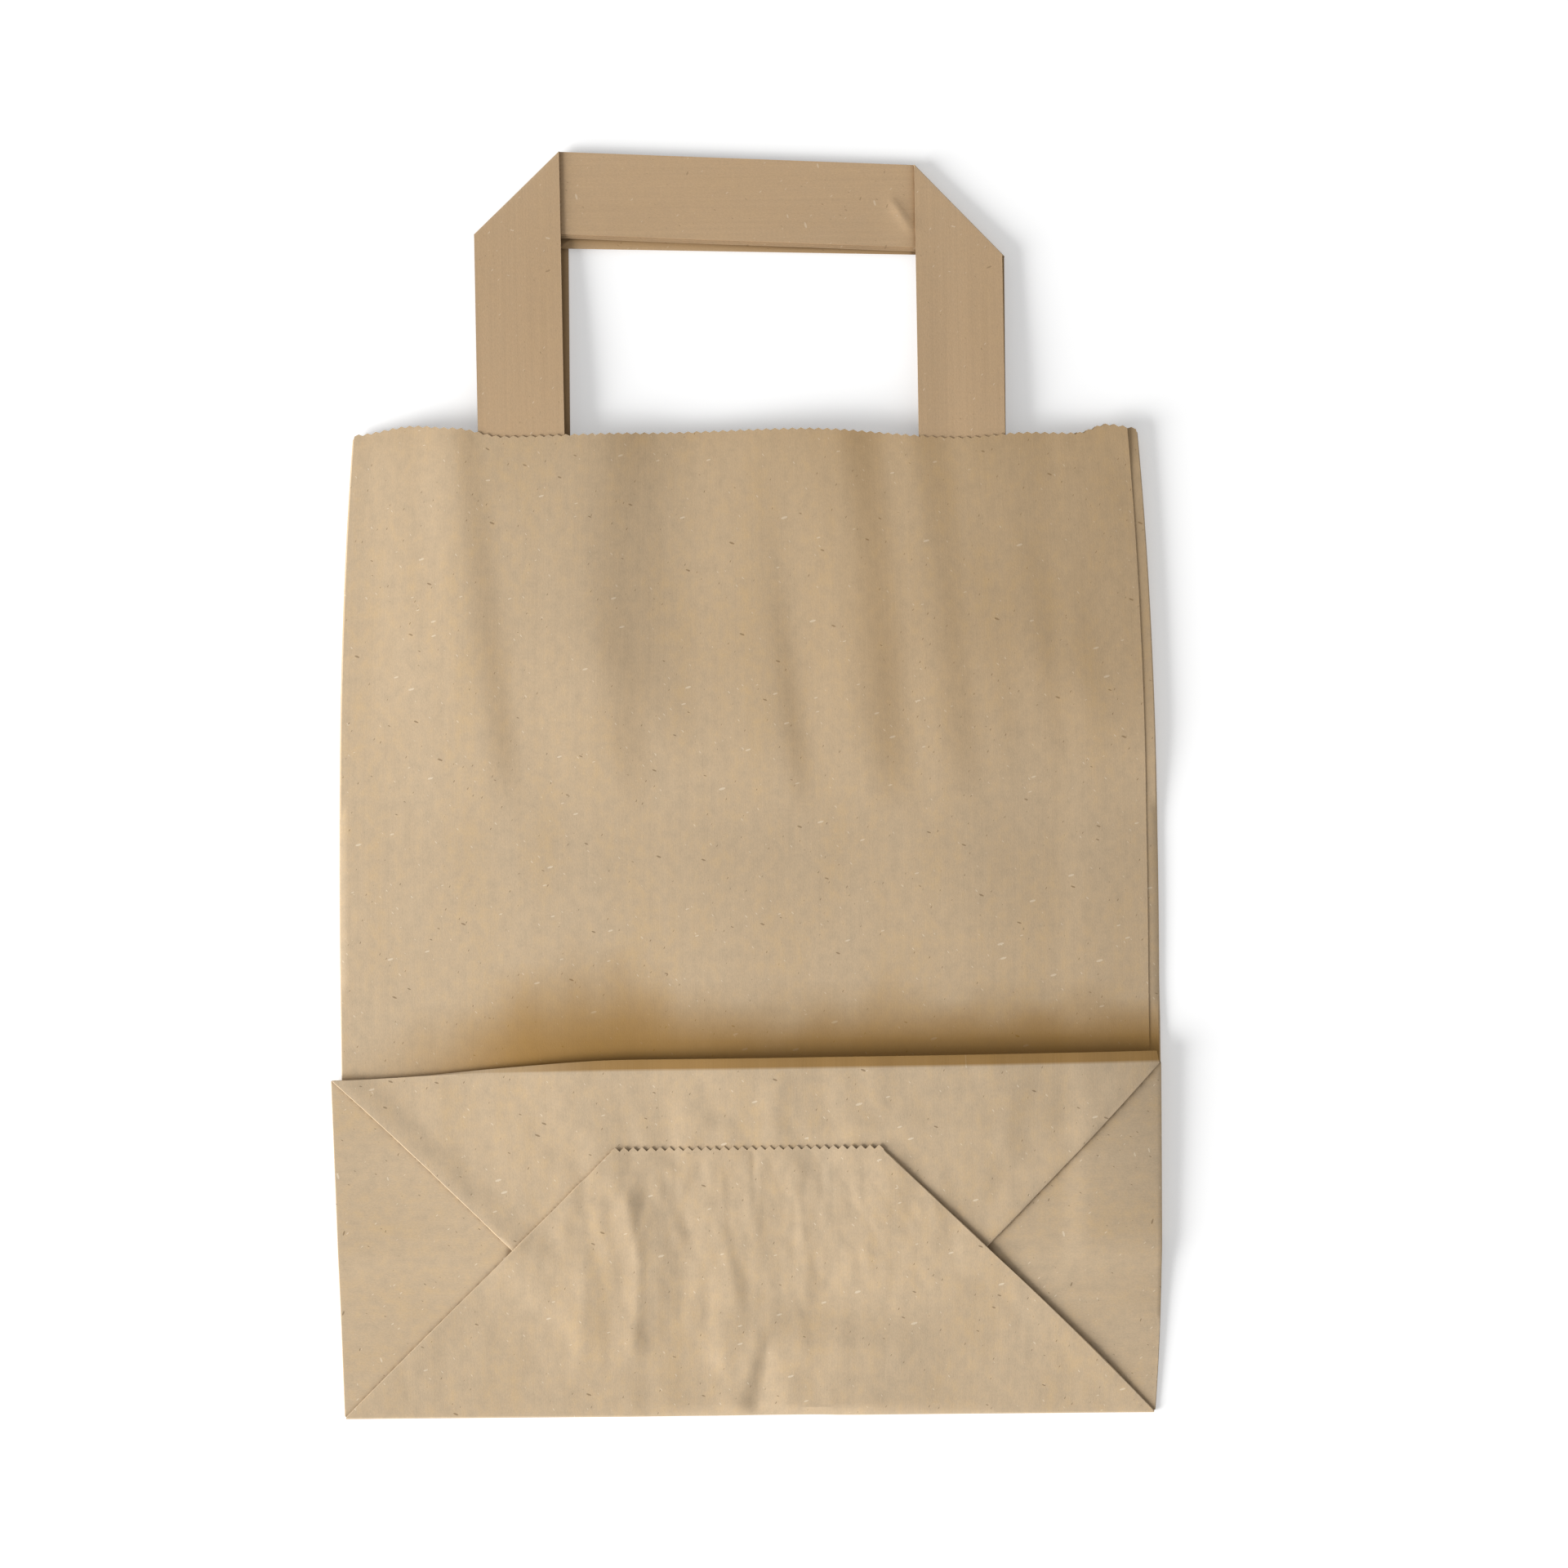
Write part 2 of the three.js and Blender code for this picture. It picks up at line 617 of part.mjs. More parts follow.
// A handle is one tape folded twice. The legs of the front one lie over its bar, and the
// legs of the rear one under it, so that both bars lie between the legs.
function handle(plan, layer, farHeight, legsOnTop) {
  const sheet = new FoldedSheet(TAPE_THICKNESS);
  const bend = TAPE_PITCH / 2;
  const level = placeTape(layer, farHeight, 0);
  const barLevel = placeTape(layer, farHeight, legsOnTop ? -TAPE_PITCH : TAPE_PITCH);
  const leg = {
    place: level,
    columns: TAPE_WIDTH_STEPS,
    rows: TAPE_STEPS,
    outerUp: legsOnTop,
    inset: { top: bend },
  };
  sheet.addPanel('leftLeg', { ...leg, corners: plan.leftLeg });
  sheet.addPanel('rightLeg', { ...leg, corners: plan.rightLeg });
  sheet.addPanel('bar', {
    corners: plan.bar,
    place: barLevel,
    columns: TAPE_STEPS,
    rows: TAPE_WIDTH_STEPS,
    outerUp: !legsOnTop,
    inset: { left: bend, right: bend },
  });
  sheet.addFold('leftLeg', 'top', 'bar', 'left', bend);
  sheet.addFold('rightLeg', 'top', 'bar', 'right', bend);
  return sheet.toGeometry();
}

function patch(offset, layer) {
  const sheet = new FoldedSheet(PAPER_THICKNESS);
  sheet.addPanel('patch', {
    corners: patchPlan(offset),
    place: placeInLayer(layer),
    columns: WIDTH_STEPS,
    rows: GUSSET_STEPS,
    outerUp: true,
  });
  return sheet.toGeometry();
}

const kraft = { roughness: 0.85, metalness: 0 };
const bagPaper = new THREE.MeshStandardMaterial({ color: '#c6ab84', ...kraft });
const tapePaper = new THREE.MeshStandardMaterial({ color: '#b9986c', ...kraft });
const patchPaper = new THREE.MeshStandardMaterial({ color: '#c0a47b', ...kraft });

function piece(name, geometry, material) {
  const mesh = new THREE.Mesh(geometry, material);
  mesh.name = name;
  return mesh;
}

const rearHeight = TAPE_THICKNESS / 2;
const frontHeight = rearHeight + HANDLE_LIFT;
const bag = new THREE.Group();
bag.add(piece('bag_body', bagBody(), bagPaper));
bag.add(piece('rear_handle', handle(rearHandlePlan, 'rearLegs', rearHeight, false), tapePaper));
bag.add(piece('front_handle', handle(frontHandlePlan, 'frontLegs', frontHeight, true), tapePaper.clone()));
bag.add(piece('rear_handle_patch', patch(REAR_OFFSET, 'rearPatch'), patchPaper));
bag.add(piece('front_handle_patch', patch(FRONT_OFFSET, 'frontPatch'), patchPaper.clone()));

// The origin is under the middle of the whole bag, on the surface that it lies on
const bounds = new THREE.Box3().setFromObject(bag);
const middle = bounds.getCenter(new THREE.Vector3());
bag.position.set(-middle.x, -middle.y, -bounds.min.z);

export default bag;
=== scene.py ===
"""Kraft-paper carrier bag, folded flat, with its block bottom turned up over the front.

The bag is one sheet of paper. Its panels are grids laid in plan, ply over ply, and joined at
their creases by narrow bent strips. Two flat tape handles come out of the mouth. All sizes
are in metres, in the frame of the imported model.
"""

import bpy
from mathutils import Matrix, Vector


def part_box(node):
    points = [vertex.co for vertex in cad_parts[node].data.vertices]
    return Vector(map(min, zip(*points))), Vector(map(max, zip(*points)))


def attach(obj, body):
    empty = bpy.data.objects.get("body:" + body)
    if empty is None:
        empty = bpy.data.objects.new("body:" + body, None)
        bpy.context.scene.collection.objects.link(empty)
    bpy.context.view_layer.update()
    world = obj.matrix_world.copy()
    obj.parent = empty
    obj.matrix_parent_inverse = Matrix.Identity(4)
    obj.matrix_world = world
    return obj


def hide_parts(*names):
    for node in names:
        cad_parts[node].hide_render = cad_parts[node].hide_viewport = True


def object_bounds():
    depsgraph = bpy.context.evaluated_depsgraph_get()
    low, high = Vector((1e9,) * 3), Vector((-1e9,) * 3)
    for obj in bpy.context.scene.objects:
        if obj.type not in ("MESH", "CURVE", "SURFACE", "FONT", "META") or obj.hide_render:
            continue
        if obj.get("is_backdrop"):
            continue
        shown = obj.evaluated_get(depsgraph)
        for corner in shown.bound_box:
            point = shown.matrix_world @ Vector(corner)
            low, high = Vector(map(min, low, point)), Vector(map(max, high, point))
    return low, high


bl_info = {
    "name": "Folded Carrier Bag",
    "version": (1, 0, 0),
    "blender": (4, 5, 0),
    "location": "3D View > Sidebar > Carrier Bag",
    "description": "Makes a flat-folded kraft carrier bag, its tape handles and a white stage",
    "category": "Object",
}

import math
from collections import namedtuple

import bmesh
import bpy
import numpy as np
from bpy.props import FloatProperty, FloatVectorProperty, PointerProperty
from mathutils import Vector, noise

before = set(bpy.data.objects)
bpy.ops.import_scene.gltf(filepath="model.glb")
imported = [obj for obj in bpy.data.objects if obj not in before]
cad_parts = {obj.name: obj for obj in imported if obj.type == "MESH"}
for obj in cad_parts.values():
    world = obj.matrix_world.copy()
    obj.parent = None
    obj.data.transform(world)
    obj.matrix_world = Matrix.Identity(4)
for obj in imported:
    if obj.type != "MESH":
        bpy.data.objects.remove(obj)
CAD_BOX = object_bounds()

MM = 0.001
BODY = "root"
SENSOR_WIDTH = 0.036

# Fineness of the panels' grids
WIDTH_STEPS = 110
BACK_WIDTH_STEPS = 140
LENGTH_STEPS = 40
GUSSET_STEPS = 12
BLOCK_STEPS = 36
UNDER_STEPS = 10
FLAP_STEPS = 70
TUCK_STEPS = 8
LAP_STEPS = 8
FOLD_STEPS = 4
ROLL_STEPS = 16
TAPE_STEPS = 110
TAPE_WIDTH_STEPS = 18
TAPE_PLIES = 3

# How the paper lies
PLY_AIR = 0.1 * MM
PLY_MARGIN = 0.6 * MM
PLY_EASE = 7 * MM
FLAP_EASE = 15 * MM
SOFT_EASE = 30 * MM
EDGE_BAND = 0.4 * MM
FOLD_SLACK = 0.8
ROLL_PEAK = 0.75
UNCOVERED = 1.0
SHARP_ANGLE = math.radians(32)
WELD_DISTANCE = 0.001 * MM

SIDES = ("bottom", "right", "top", "left")
LEGS = ("leftLeg", "rightLeg")


def number(name, value, description, **kind):
    """A plain value that a user can change."""
    return FloatProperty(name=name, description=description, default=value, **kind)


def length(name, millimetres, description):
    """A length that a user can change."""
    return number(name, millimetres * MM, description, unit="LENGTH", precision=5)


def paint(name, colour, description):
    """A paper colour that a user can change, in linear light."""
    return FloatVectorProperty(
        name=name, description=description, default=colour, size=3, min=0, max=1, subtype="COLOR"
    )


class BagSizes(bpy.types.PropertyGroup):
    """Sizes of the folded sheet."""

    width: length("Width", 180, "Width of the front and back panels")
    height: length("Height", 216, "From the bottom fold to the mouth")
    gusset_depth: length("Gusset depth", 75, "Depth of the side gussets and of the block bottom")
    flap_overlap: length("Flap overlap", 21.5, "How far the bottom flaps reach past the block's middle")
    seam_lap: length("Seam lap", 15, "Width of the glued lap under the front panel's free edge")
    seam_setback: length("Seam setback", 2.3, "From the bag's right-hand edge to the front's free edge")
    paper: length("Paper", 0.13, "Thickness of the paper")
    tooth_pitch: length("Tooth pitch", 2, "Distance between the saw teeth of a cut edge")
    tooth_depth: length("Tooth depth", 0.9, "Depth of the saw teeth of the bottom flaps")
    mouth_tooth_depth: length("Mouth tooth depth", 0.45, "Depth of the saw teeth of the mouth")
    puff: length("Puff", 4.2, "How far the front springs off the back in the middle")
    block_pull: length("Block pull", 4.2, "How far the springing block pulls the front panel up")
    block_spring: length("Block spring", 1.8, "How far the turned-up block springs open at its top edge")
    roll: length("Roll", 2.5, "How far the paper stands out past the block's top crease")
    draw_in: length("Draw in", 4, "How far each side draws in at the mouth")
    lean: length("Lean", 2.3, "How far the block's left-hand corner stands out past the bag")
    nip: length("Nip", 1.5, "How far the bottom fold's right-hand end draws in")
    flap_draw: length("Flap draw", 2.5, "How far each slanting edge of the back flap draws in at its end")
    climb: length("Climb", 1.5, "How much higher up the bag the block's right-hand corner lies")
    crest: length("Crest", 1.3, "How much higher the block's top crease lies past its left-hand corner")


class TapeSizes(bpy.types.PropertyGroup):
    """Sizes of the tape handles and of the patches over their legs."""

    width: length("Tape width", 19, "Width of the folded tape")
    thickness: length("Tape thickness", 0.6, "Thickness of all its plies")
    pitch: length("Leg pitch", 97, "Between the middles of the legs")
    rise: length("Rise", 60.4, "From the mouth to the top of the handle")
    depth: length("Depth", 42, "Length of the legs inside the mouth")
    front_slant: length("Front slant", 3.6, "Fall of the front handle's bar from left to right")
    front_offset: length("Front offset", -1.3, "Front handle's middle from the bag's axis")
    rear_slant: length("Rear slant", 2, "Fall of the rear handle's bar from left to right")
    rear_shift: length("Rear shift", 1.3, "Rear handle's middle from the front one's")
    rear_drop: length("Rear drop", 1.4, "How much lower the rear handle's bar lies")
    ply_step: length("Ply step", 0.8, "How far the tape's inner plies stand out past its top ply")
    tilt: length("Tilt", 0.9, "How far the front handle's left leg leans to the right at the mouth")
    pinch: length("Pinch", 0.45, "Height of the small crease at the right-hand end of the front bar")
    squeeze: length("Squeeze", 1.2, "How much closer together the rear handle's legs lie")
    lift: length("Lift", 2.1, "Height of the front handle's legs at its bar")
    patch_overhang: length("Patch overhang", 17, "Patch past the legs on each side")
    patch_setback: length("Patch setback", 4, "Patch below the mouth")
    patch_margin: length("Patch margin", 5, "Patch below the ends of the legs")


class PaperColours(bpy.types.PropertyGroup):
    """Colours of the paper."""

    body: paint("Body", (0.565, 0.427, 0.278), "Kraft paper of the bag")
    tape: paint("Tape", (0.52, 0.36, 0.213), "Kraft paper of the handles")
    patch: paint("Patch", (0.54, 0.39, 0.25), "Kraft paper of the patches inside")
    warm: paint("Warm", (0.48, 0.32, 0.14), "Clouds of warmer fibre in the paper")
    # Painted shade: this tint is mixed in where the paper lies in shade in a fold, above the block and near
    # the mouth
    deep: paint("Deep", (0.31, 0.148, 0.008), "Paper that lies sheltered in a fold")
    # Also the colour of the painted shadow lines beside edges of paper that lie over
    dark_fleck_and_shadow_line: paint("Dark fleck and shadow line", (0.13, 0.075, 0.03), "Shives of bark in the paper")
    pale_fleck: paint("Pale fleck", (0.82, 0.70, 0.53), "Bleached fibres in the paper")


class StageSizes(bpy.types.PropertyGroup):
    """Camera, light and floor."""

    camera_height: length("Camera height", 750, "Camera above the floor")
    field: length("Field", 345.6, "Width of the picture at the floor")
    aim_across: length("Aim across", 7.92, "Picture's middle from the bag's axis")
    aim_up: length("Aim up", 138.8, "Picture's middle from the bottom fold")
    roll: number("Roll", math.radians(0.5), "Turn of the camera about its axis", subtype="ANGLE")
    key_power: number("Key power", 137, "Power of the soft lamp", subtype="POWER")
    key_size: length("Key size", 1800, "Side of the soft lamp")
    fill: number("Fill", 0.42, "Strength of the light from all round", min=0)
    floor_glow: number("Floor glow", 0.3, "White added to the floor", min=0)


class CarrierBag(bpy.types.PropertyGroup):
    """All settings of the carrier bag."""

    bag: PointerProperty(type=BagSizes)
    tape: PointerProperty(type=TapeSizes)
    colours: PointerProperty(type=PaperColours)
    stage: PointerProperty(type=StageSizes)


def smoothstep(value, low, high):
    share = np.clip((value - low) / (high - low), 0, 1)
    return share * share * (3 - 2 * share)


def between(first, second, share):
    return first + (second - first) * share


def wave(x, knots):
    """A smooth line through listed places in millimetres, level at each of them."""
    places, heights = np.array(knots).T * MM
    span = np.clip(np.searchsorted(places, x, side="right") - 1, 0, len(places) - 2)
    share = smoothstep(x, places[span], places[span + 1])
    return between(heights[span], heights[span + 1], share)


# Shares of a crease's length over which it rises at one end and fades at the other
RIDGE_RISE = (-0.15, 0.25)
RIDGE_FADE = (0.75, 1.15)


def ridge(x, y, start, end, width):
    """A paper crease of height 1 between two points in millimetres: sharp on top, faint at its ends."""
    foot = np.array(start) * MM
    along = np.array(end) * MM - foot
    reach = np.hypot(*along)
    forward = ((x - foot[0]) * along[0] + (y - foot[1]) * along[1]) / reach**2
    aside = ((x - foot[0]) * along[1] - (y - foot[1]) * along[0]) / reach
    ends = smoothstep(forward, *RIDGE_RISE) * (1 - smoothstep(forward, *RIDGE_FADE))
    return np.exp(-np.abs(aside) / (width * MM)) * ends


def creased(x, y, creases):
    """Several paper creases together, each with its height, its two ends and its width."""
    return sum(height * ridge(x, y, start, end, width) for height, start, end, width in creases)


def unevenness(x, y, size, seed):
    """Slow random waves between -1 and 1 of about the given size."""
    spots = np.stack([np.ravel(x), np.ravel(y)], axis=1) / size
    values = [noise.noise(Vector((across, up, seed))) for across, up in spots]
    return np.array(values).reshape(np.shape(x))


def facets(x, y, across, along, seed):
    """Straight-edged facets between 0 and 1, as in paper that was pressed down."""
    spots = np.stack([np.ravel(x) / across, np.ravel(y) / along], axis=1)
    nearest = [noise.voronoi(Vector((*spot, seed)))[0][:2] for spot in spots]
    return np.array([second - first for first, second in nearest]).reshape(np.shape(x))


def crumpled(x, y, folds):
    """Facets of several sizes together, each with its height, its size across and along, and its seed."""
    return sum(height * facets(x, y, across * MM, along * MM, seed) for height, across, along, seed in folds)


def outline(*points):
    return np.array(points, dtype=float)


def rectangle(left, bottom, right, top):
    return outline((left, bottom), (right, bottom), (right, top), (left, top))


def mirrored(corners):
    return corners * (-1, 1)


def cross(first, second):
    return first[0] * second[1] - first[1] * second[0]


def signed_area(corners):
    following = np.roll(corners, -1, axis=0)
    return sum(cross(corner, after) for corner, after in zip(corners, following)) / 2


def sides_of(corners):
    """Each side of an outline: its start, its run and its outward direction, which a bare point lacks."""
    turn = np.sign(signed_area(corners))
    for start, end in zip(corners, np.roll(corners, -1, axis=0)):
        along = end - start
        span = np.hypot(*along)
        yield start, along, turn * np.array((along[1], -along[0])) / span if span else None


def distance_outside(corners, x, y):
    """How far points lie outside a convex outline, and 0 inside it."""
    furthest = np.zeros_like(x)
    for start, _, outwards in sides_of(corners):
        if outwards is not None:
            furthest = np.maximum(furthest, outwards[0] * (x - start[0]) + outwards[1] * (y - start[1]))
    return furthest


def inset_corners(corners, inset):
    """The corners of an outline after each side has moved inwards by its own distance."""
    lines = []
    for side, (start, along, outwards) in zip(SIDES, sides_of(corners)):
        lines.append(None if outwards is None else (start - outwards * inset.get(side, 0), along))
    moved = []
    for i in range(len(corners)):
        point, along = lines[i - 1] or lines[i - 2]
        other, across = lines[i] or lines[(i + 1) % len(lines)]
        moved.append(point + along * cross(other - point, across) / cross(along, across))
    return np.array(moved)


# One layer of the flat bag: what it covers in plan, its pitch, the air that springs open over it, and
# how far past its edge the paper over it takes to come down
Ply = namedtuple("Ply", "name covers pitch air ease")


class BagPlan:
    """Plan outlines of the flat bag's panels and the heights of its plies."""

    # The front panel from left to right: its height off the gussets at the mouth and where the
    # patch inside it ends, and the waver of its mouth edge in plan
    MOUTH_HEIGHTS = (
        (-90, 0.7), (-78, 1.2), (-67, 1.8), (-60, 1.45), (-34, 1.55), (-19, 0.95), (12, 2.3), (20, 2.2),
        (32, 1.3), (38, 1.55), (47, 1.2), (52, 1.3), (61, 1.25), (68, 1.35), (82, 1.95), (90, 1.95),
    )
    PATCH_HEIGHTS = (
        (-90, 0.5), (-58, 1.25), (-51, 0.75), (-32, 1.7), (-22, 1.1), (6, 2.1), (13, 1.4), (24, 1.95),
        (35, 1.2), (41, 1.45), (50, 1.0), (55, 1.2), (59, 1.1), (66, 1.3), (70, 1.2), (78, 1.4), (90, 1.7),
    )
    MOUTH_WAVER = (
        (-90, 0.4), (-76, 2.1), (-67, 1.5), (-55, -0.5), (-25, 0.1), (13, 0.8), (50, -1.5), (65, -0.5),
        (76, -0.7), (83, 1.2), (90, 0.4),
    )
    WAVER_REACH = 40 * MM
    MOUTH_SETBACK = 1.1 * MM
    MOUTH_REACH = 88 * MM
    MOUTH_PRESS = 0.55
    PATCH_DEPTH = 60 * MM
    WAVE_LEAN = 0.12
    WAVE_FADE = 0.25
    DRAW_POWER = 3

    # Spring of the front panel. Here and below, what is called a span runs from nothing to all of an
    # effect: up the bag in shares of half the block's depth, or across it in shares of half its width
    PUFF_SPAN = (1.6, 3.2)
    EDGE_SPRING = 0.16
    REAR_SHARE = 0.35
    BUMP_HEIGHT = 0.35 * MM
    BUMP_SIZE = 30 * MM
    BUMP_SEED = 1
    PULL_SPAN = (-1, 1 / 9)
    PULL_REACH = 22 * MM
    PULL_RISE = 1.2
    PULL_HOLD = 0.6
    PULL_POWER = 4
    CORNER_LIFT = 0.45 * MM
    CORNER_REACH = 12 * MM
    CORNER_FLAT = 2 * MM

    # Lie and spring of the block
    ROLL_SPAN = (-0.85, -0.3)
    CREST_RUN = 0.2
    CREST_POWER = 6
    LOW_CORNER = 0.35
    SPRING_SPAN = (-1, 0.5)
    SPRING_HOLD = 0.8
    SPRING_POWER = 6
    UNDER_SHARE = 0.6

    # Creases of the two bottom flaps in millimetres: height, start, end and width
    FRONT_CREASES = (
        (0.5, (57, 74), (55, 54), 3),
        (0.35, (-8, 66), (-14, 56), 3),
        (0.3, (20, 74), (24, 60), 5),
        (0.3, (-40, 72), (-38, 60), 5),
        (0.45, (8, 74), (5, 60), 2.5),
        (0.5, (-66, 73), (-67, 61), 2.5),
    )
    BACK_CREASES = (
        (0.65, (-26.5, 49), (-24, 33), 2.2),
        (0.65, (-24, 33), (-26, 12), 2.2),
        (0.455, (-36, 34), (-38, 8), 4),
        (0.78, (11, 20), (8, -6), 12),
        (0.91, (20, 22), (17, -6), 14),
        (0.585, (1.5, 16), (-5, -7), 4),
        (-0.975, (4, 17), (0, -7), 3.5),
        (0.52, (-8, 12), (4, 18), 3),
        (0.39, (-6, 52), (-3, 20), 4),
        (0.325, (10, 54), (13, 30), 4),
    )
    # Their facets in millimetres: height, size across and along, and seed
    FRONT_FACETS = ((0.5, 11, 18, 2), (0.14, 4, 7, 6))
    BACK_FACETS = ((0.6, 11, 26, 3), (0.16, 4.5, 10, 5))
    FRONT_HOLD = (10 * MM, 40 * MM)
    FOLD_HOLD = 2 * MM
    END_HOLD = 6 * MM
    PRESSED_PLACE = -14 * MM
    PRESSED_REACH = 34 * MM
    PRESSED_LEAST = 0.4

    # How far the slanting edges of the back flap stand open, right and left
    GAPES = (0.4 * MM, 0.2 * MM)
    GAPE_RISE = 16 * MM
    GAPE_HOLD = 0.6
    GAPE_REACH = 9 * MM

    # Painted shade on the front panel: how far its band reaches up from the block, from left to right in
    # millimetres, its strength there and in other places
    BAND_REACHES = (
        (-90, 8), (-68, 18), (-45, 27), (-28, 30), (-12, 18),
        (5, 15), (25, 19), (45, 16), (70, 18), (90, 15),
    )
    BAND_SPAN = (-1, -0.5)
    BAND_SHADES = (0.08, 0.8)
    BAND_RAGGED = 0.3
    BAND_CLOUD = 9 * MM
    BAND_SEED = 4
    MOUTH_SHADES = (0.02, 0.15)
    MOUTH_SHADE_END = 0.5
    RIM_SHADE = 0.1
    RIM_REACH = 10 * MM
    RIGHT_SPAN = (-1, 1)
    RIGHT_SHADE = 0.09
    FLANK = 2 * MM
    FLANK_SHADE = 1.4

    # Towards the right the painted shadow line beside an edge that lies over is drawn wider: the span over
    # which it widens, and the share of the distance it is drawn from there
    SHADOW_WIDENING_SPAN = (0.3, 0.6)
    SHADOW_WIDENING_SHARE = 0.5

    # Lean of the front handle's right-hand leg, and the pinch in its bar: ends and width in millimetres
    RIGHT_LEG_STEADY = 0.67
    PINCH = ((32.5, 267), (37, 260), 1.1)

    def __init__(self, bag, tape):
        self.bag = bag
        self.tape = tape
        self.top = bag.height
        self.half = bag.width / 2
        self.deep = bag.gusset_depth
        self.middle = self.deep / 2
        self.flap = self.middle + bag.flap_overlap
        self.pitch = bag.paper + PLY_AIR
        self.tape_pitch = tape.thickness + PLY_AIR
        self.rear_offset = tape.front_offset + tape.rear_shift
        self.whole = self.whole_panels()
        self.paired = self.paired_panels()
        self.front_handle = self.handle(tape.front_offset, tape.rise, tape.front_slant)
        self.rear_handle = self.handle(self.rear_offset, tape.rise - tape.rear_drop, tape.rear_slant)
        self.plies = self.stacked_plies()
        names = [ply.name for ply in self.plies]
        self.block_names = names[names.index("frontUnder"):]

    def whole_panels(self):
        half, deep, flap = self.half, self.deep, self.flap
        seam_edge = half - self.bag.seam_setback
        lap_end = half - self.bag.seam_lap
        end = half - flap
        draw = self.bag.flap_draw
        return {
            "back": rectangle(-half, 0, half, self.top),
            "front": rectangle(-half, self.middle, seam_edge, self.top),
            "frontUnder": rectangle(-half, self.middle, seam_edge, deep),
            "frontFlap": outline((-half, deep), (half, deep), (end, deep - flap), (-end, deep - flap)),
            "backFlap": outline((-half, 0), (half, 0), (end - draw, flap), (draw - end, flap)),
            "seamLap": mirrored(rectangle(-half, self.middle, -lap_end, self.top)),
            "seamLapUnder": mirrored(rectangle(-half, self.middle, -lap_end, deep)),
        }

    def paired_panels(self):
        half, middle, deep = self.half, self.middle, self.deep
        flap, top = self.flap, self.top
        fold = middle - half
        end = flap - half
        drawn = end + self.bag.flap_draw
        return {
            "gussetBack": outline((-half, 0), (fold, middle), (fold, top), (-half, top)),
            "gussetFront": rectangle(-half, middle, fold, top),
            "cornerUnder": outline((-half, middle), (fold, middle), (fold, middle), (-half, deep)),
            "cornerOver": outline((-half, 0), (fold, middle), (fold, middle), (-half, deep)),
            "endFlap": rectangle(-half, 0, end, deep),
            "frontTuck": outline((-half, deep), (end, deep - flap), (end, deep), (-half, deep)),
            "backTuck": outline((-half, 0), (drawn, 0), (drawn, flap), (-half, 0)),
        }

    def handle(self, offset, rise, slant):
        """Two upright legs and a slanting bar, folded where they cross."""
        tape = self.tape
        inner = (tape.pitch - tape.width) / 2
        outer = (tape.pitch + tape.width) / 2
        slope = math.atan2(-slant, 2 * inner)
        left_top = self.top + rise + slant / 2
        right_top = self.top + rise - slant / 2
        left_outer = (offset - outer, left_top - tape.width * math.tan((math.pi / 2 + slope) / 2))
        right_outer = (offset + outer, right_top - tape.width * math.tan((math.pi / 2 - slope) / 2))
        left_inner = (offset - inner, left_top)
        right_inner = (offset + inner, right_top)
        end = self.top - tape.depth
        return {
            "leftLeg": outline((offset - outer, end), (offset - inner, end), left_inner, left_outer),
            "rightLeg": outline((offset + inner, end), (offset + outer, end), right_outer, right_inner),
            "bar": outline(left_outer, right_outer, right_inner, left_inner),
        }

    def patch(self, offset):
        tape = self.tape
        half = (tape.pitch + tape.width) / 2 + tape.patch_overhang
        bottom = self.top - tape.depth - tape.patch_margin
        return rectangle(offset - half, bottom, offset + half, self.top - tape.patch_setback)

    def stacked_plies(self):
        """The layers from the floor upwards, with the air that the paper's spring leaves over some."""

        def panel(name, air=None, ease=PLY_EASE):
            if name in self.whole:
                return Ply(name, [self.whole[name]], self.pitch, air, ease)
            return Ply(name, [self.paired[name], mirrored(self.paired[name])], self.pitch, air, ease)

        def patch(name, offset, air=None):
            return Ply(name, [self.patch(offset)], self.pitch, air, SOFT_EASE)

        def legs(name, handle):
            return Ply(name, [handle[leg] for leg in LEGS], self.tape_pitch, None, SOFT_EASE)

        def part(share, spring):
            return lambda x, y: share * spring(x, y)

        return [
            panel("back"),
            legs("rearLegs", self.rear_handle),
            patch("rearPatch", self.rear_offset, part(self.REAR_SHARE, self.puff)),
            panel("gussetBack", ease=SOFT_EASE),
            panel("gussetFront", self.air_before_gussets, SOFT_EASE),
            patch("frontPatch", self.tape.front_offset),
            legs("frontLegs", self.front_handle),
            panel("seamLap", self.air_under_seam),
            panel("front", ease=FLAP_EASE),
            panel("frontUnder", ease=FLAP_EASE),
            panel("seamLapUnder", part(self.UNDER_SHARE, self.block_spring)),
            panel("cornerUnder"),
            panel("cornerOver", part(1 - self.UNDER_SHARE, self.block_spring)),
            panel("endFlap", ease=FLAP_EASE),
            panel("frontTuck", self.air_under_front_flap, FLAP_EASE),
            panel("frontFlap", self.air_under_back_tuck),
            panel("backTuck", self.air_under_back_flap, FLAP_EASE),
            panel("backFlap"),
        ]

    def from_axis(self, x):
        """0 on the bag's axis to 1 at its sides."""
        return np.clip(np.abs(x) / self.half, 0, 1)

    def rising(self, x, span):
        """0 to 1 from left to right over a span in shares of half the width."""
        return smoothstep(x / self.half, *span)

    def near_mouth(self, y):
        """1 at the mouth, falling evenly to 0 below the stiff patch."""
        return np.clip(1 - (self.top - y) / self.MOUTH_REACH, 0, 1)

    def puff(self, x, y):
        """How far the paper's spring holds the bag open: least under the block and at the mouth."""
        pressed = self.MOUTH_PRESS * self.near_mouth(y)
        crown = 1 - (1 - self.EDGE_SPRING) * (x / self.half) ** 2
        return self.bag.puff * crown * smoothstep(y / self.middle, *self.PUFF_SPAN) * (1 - pressed)

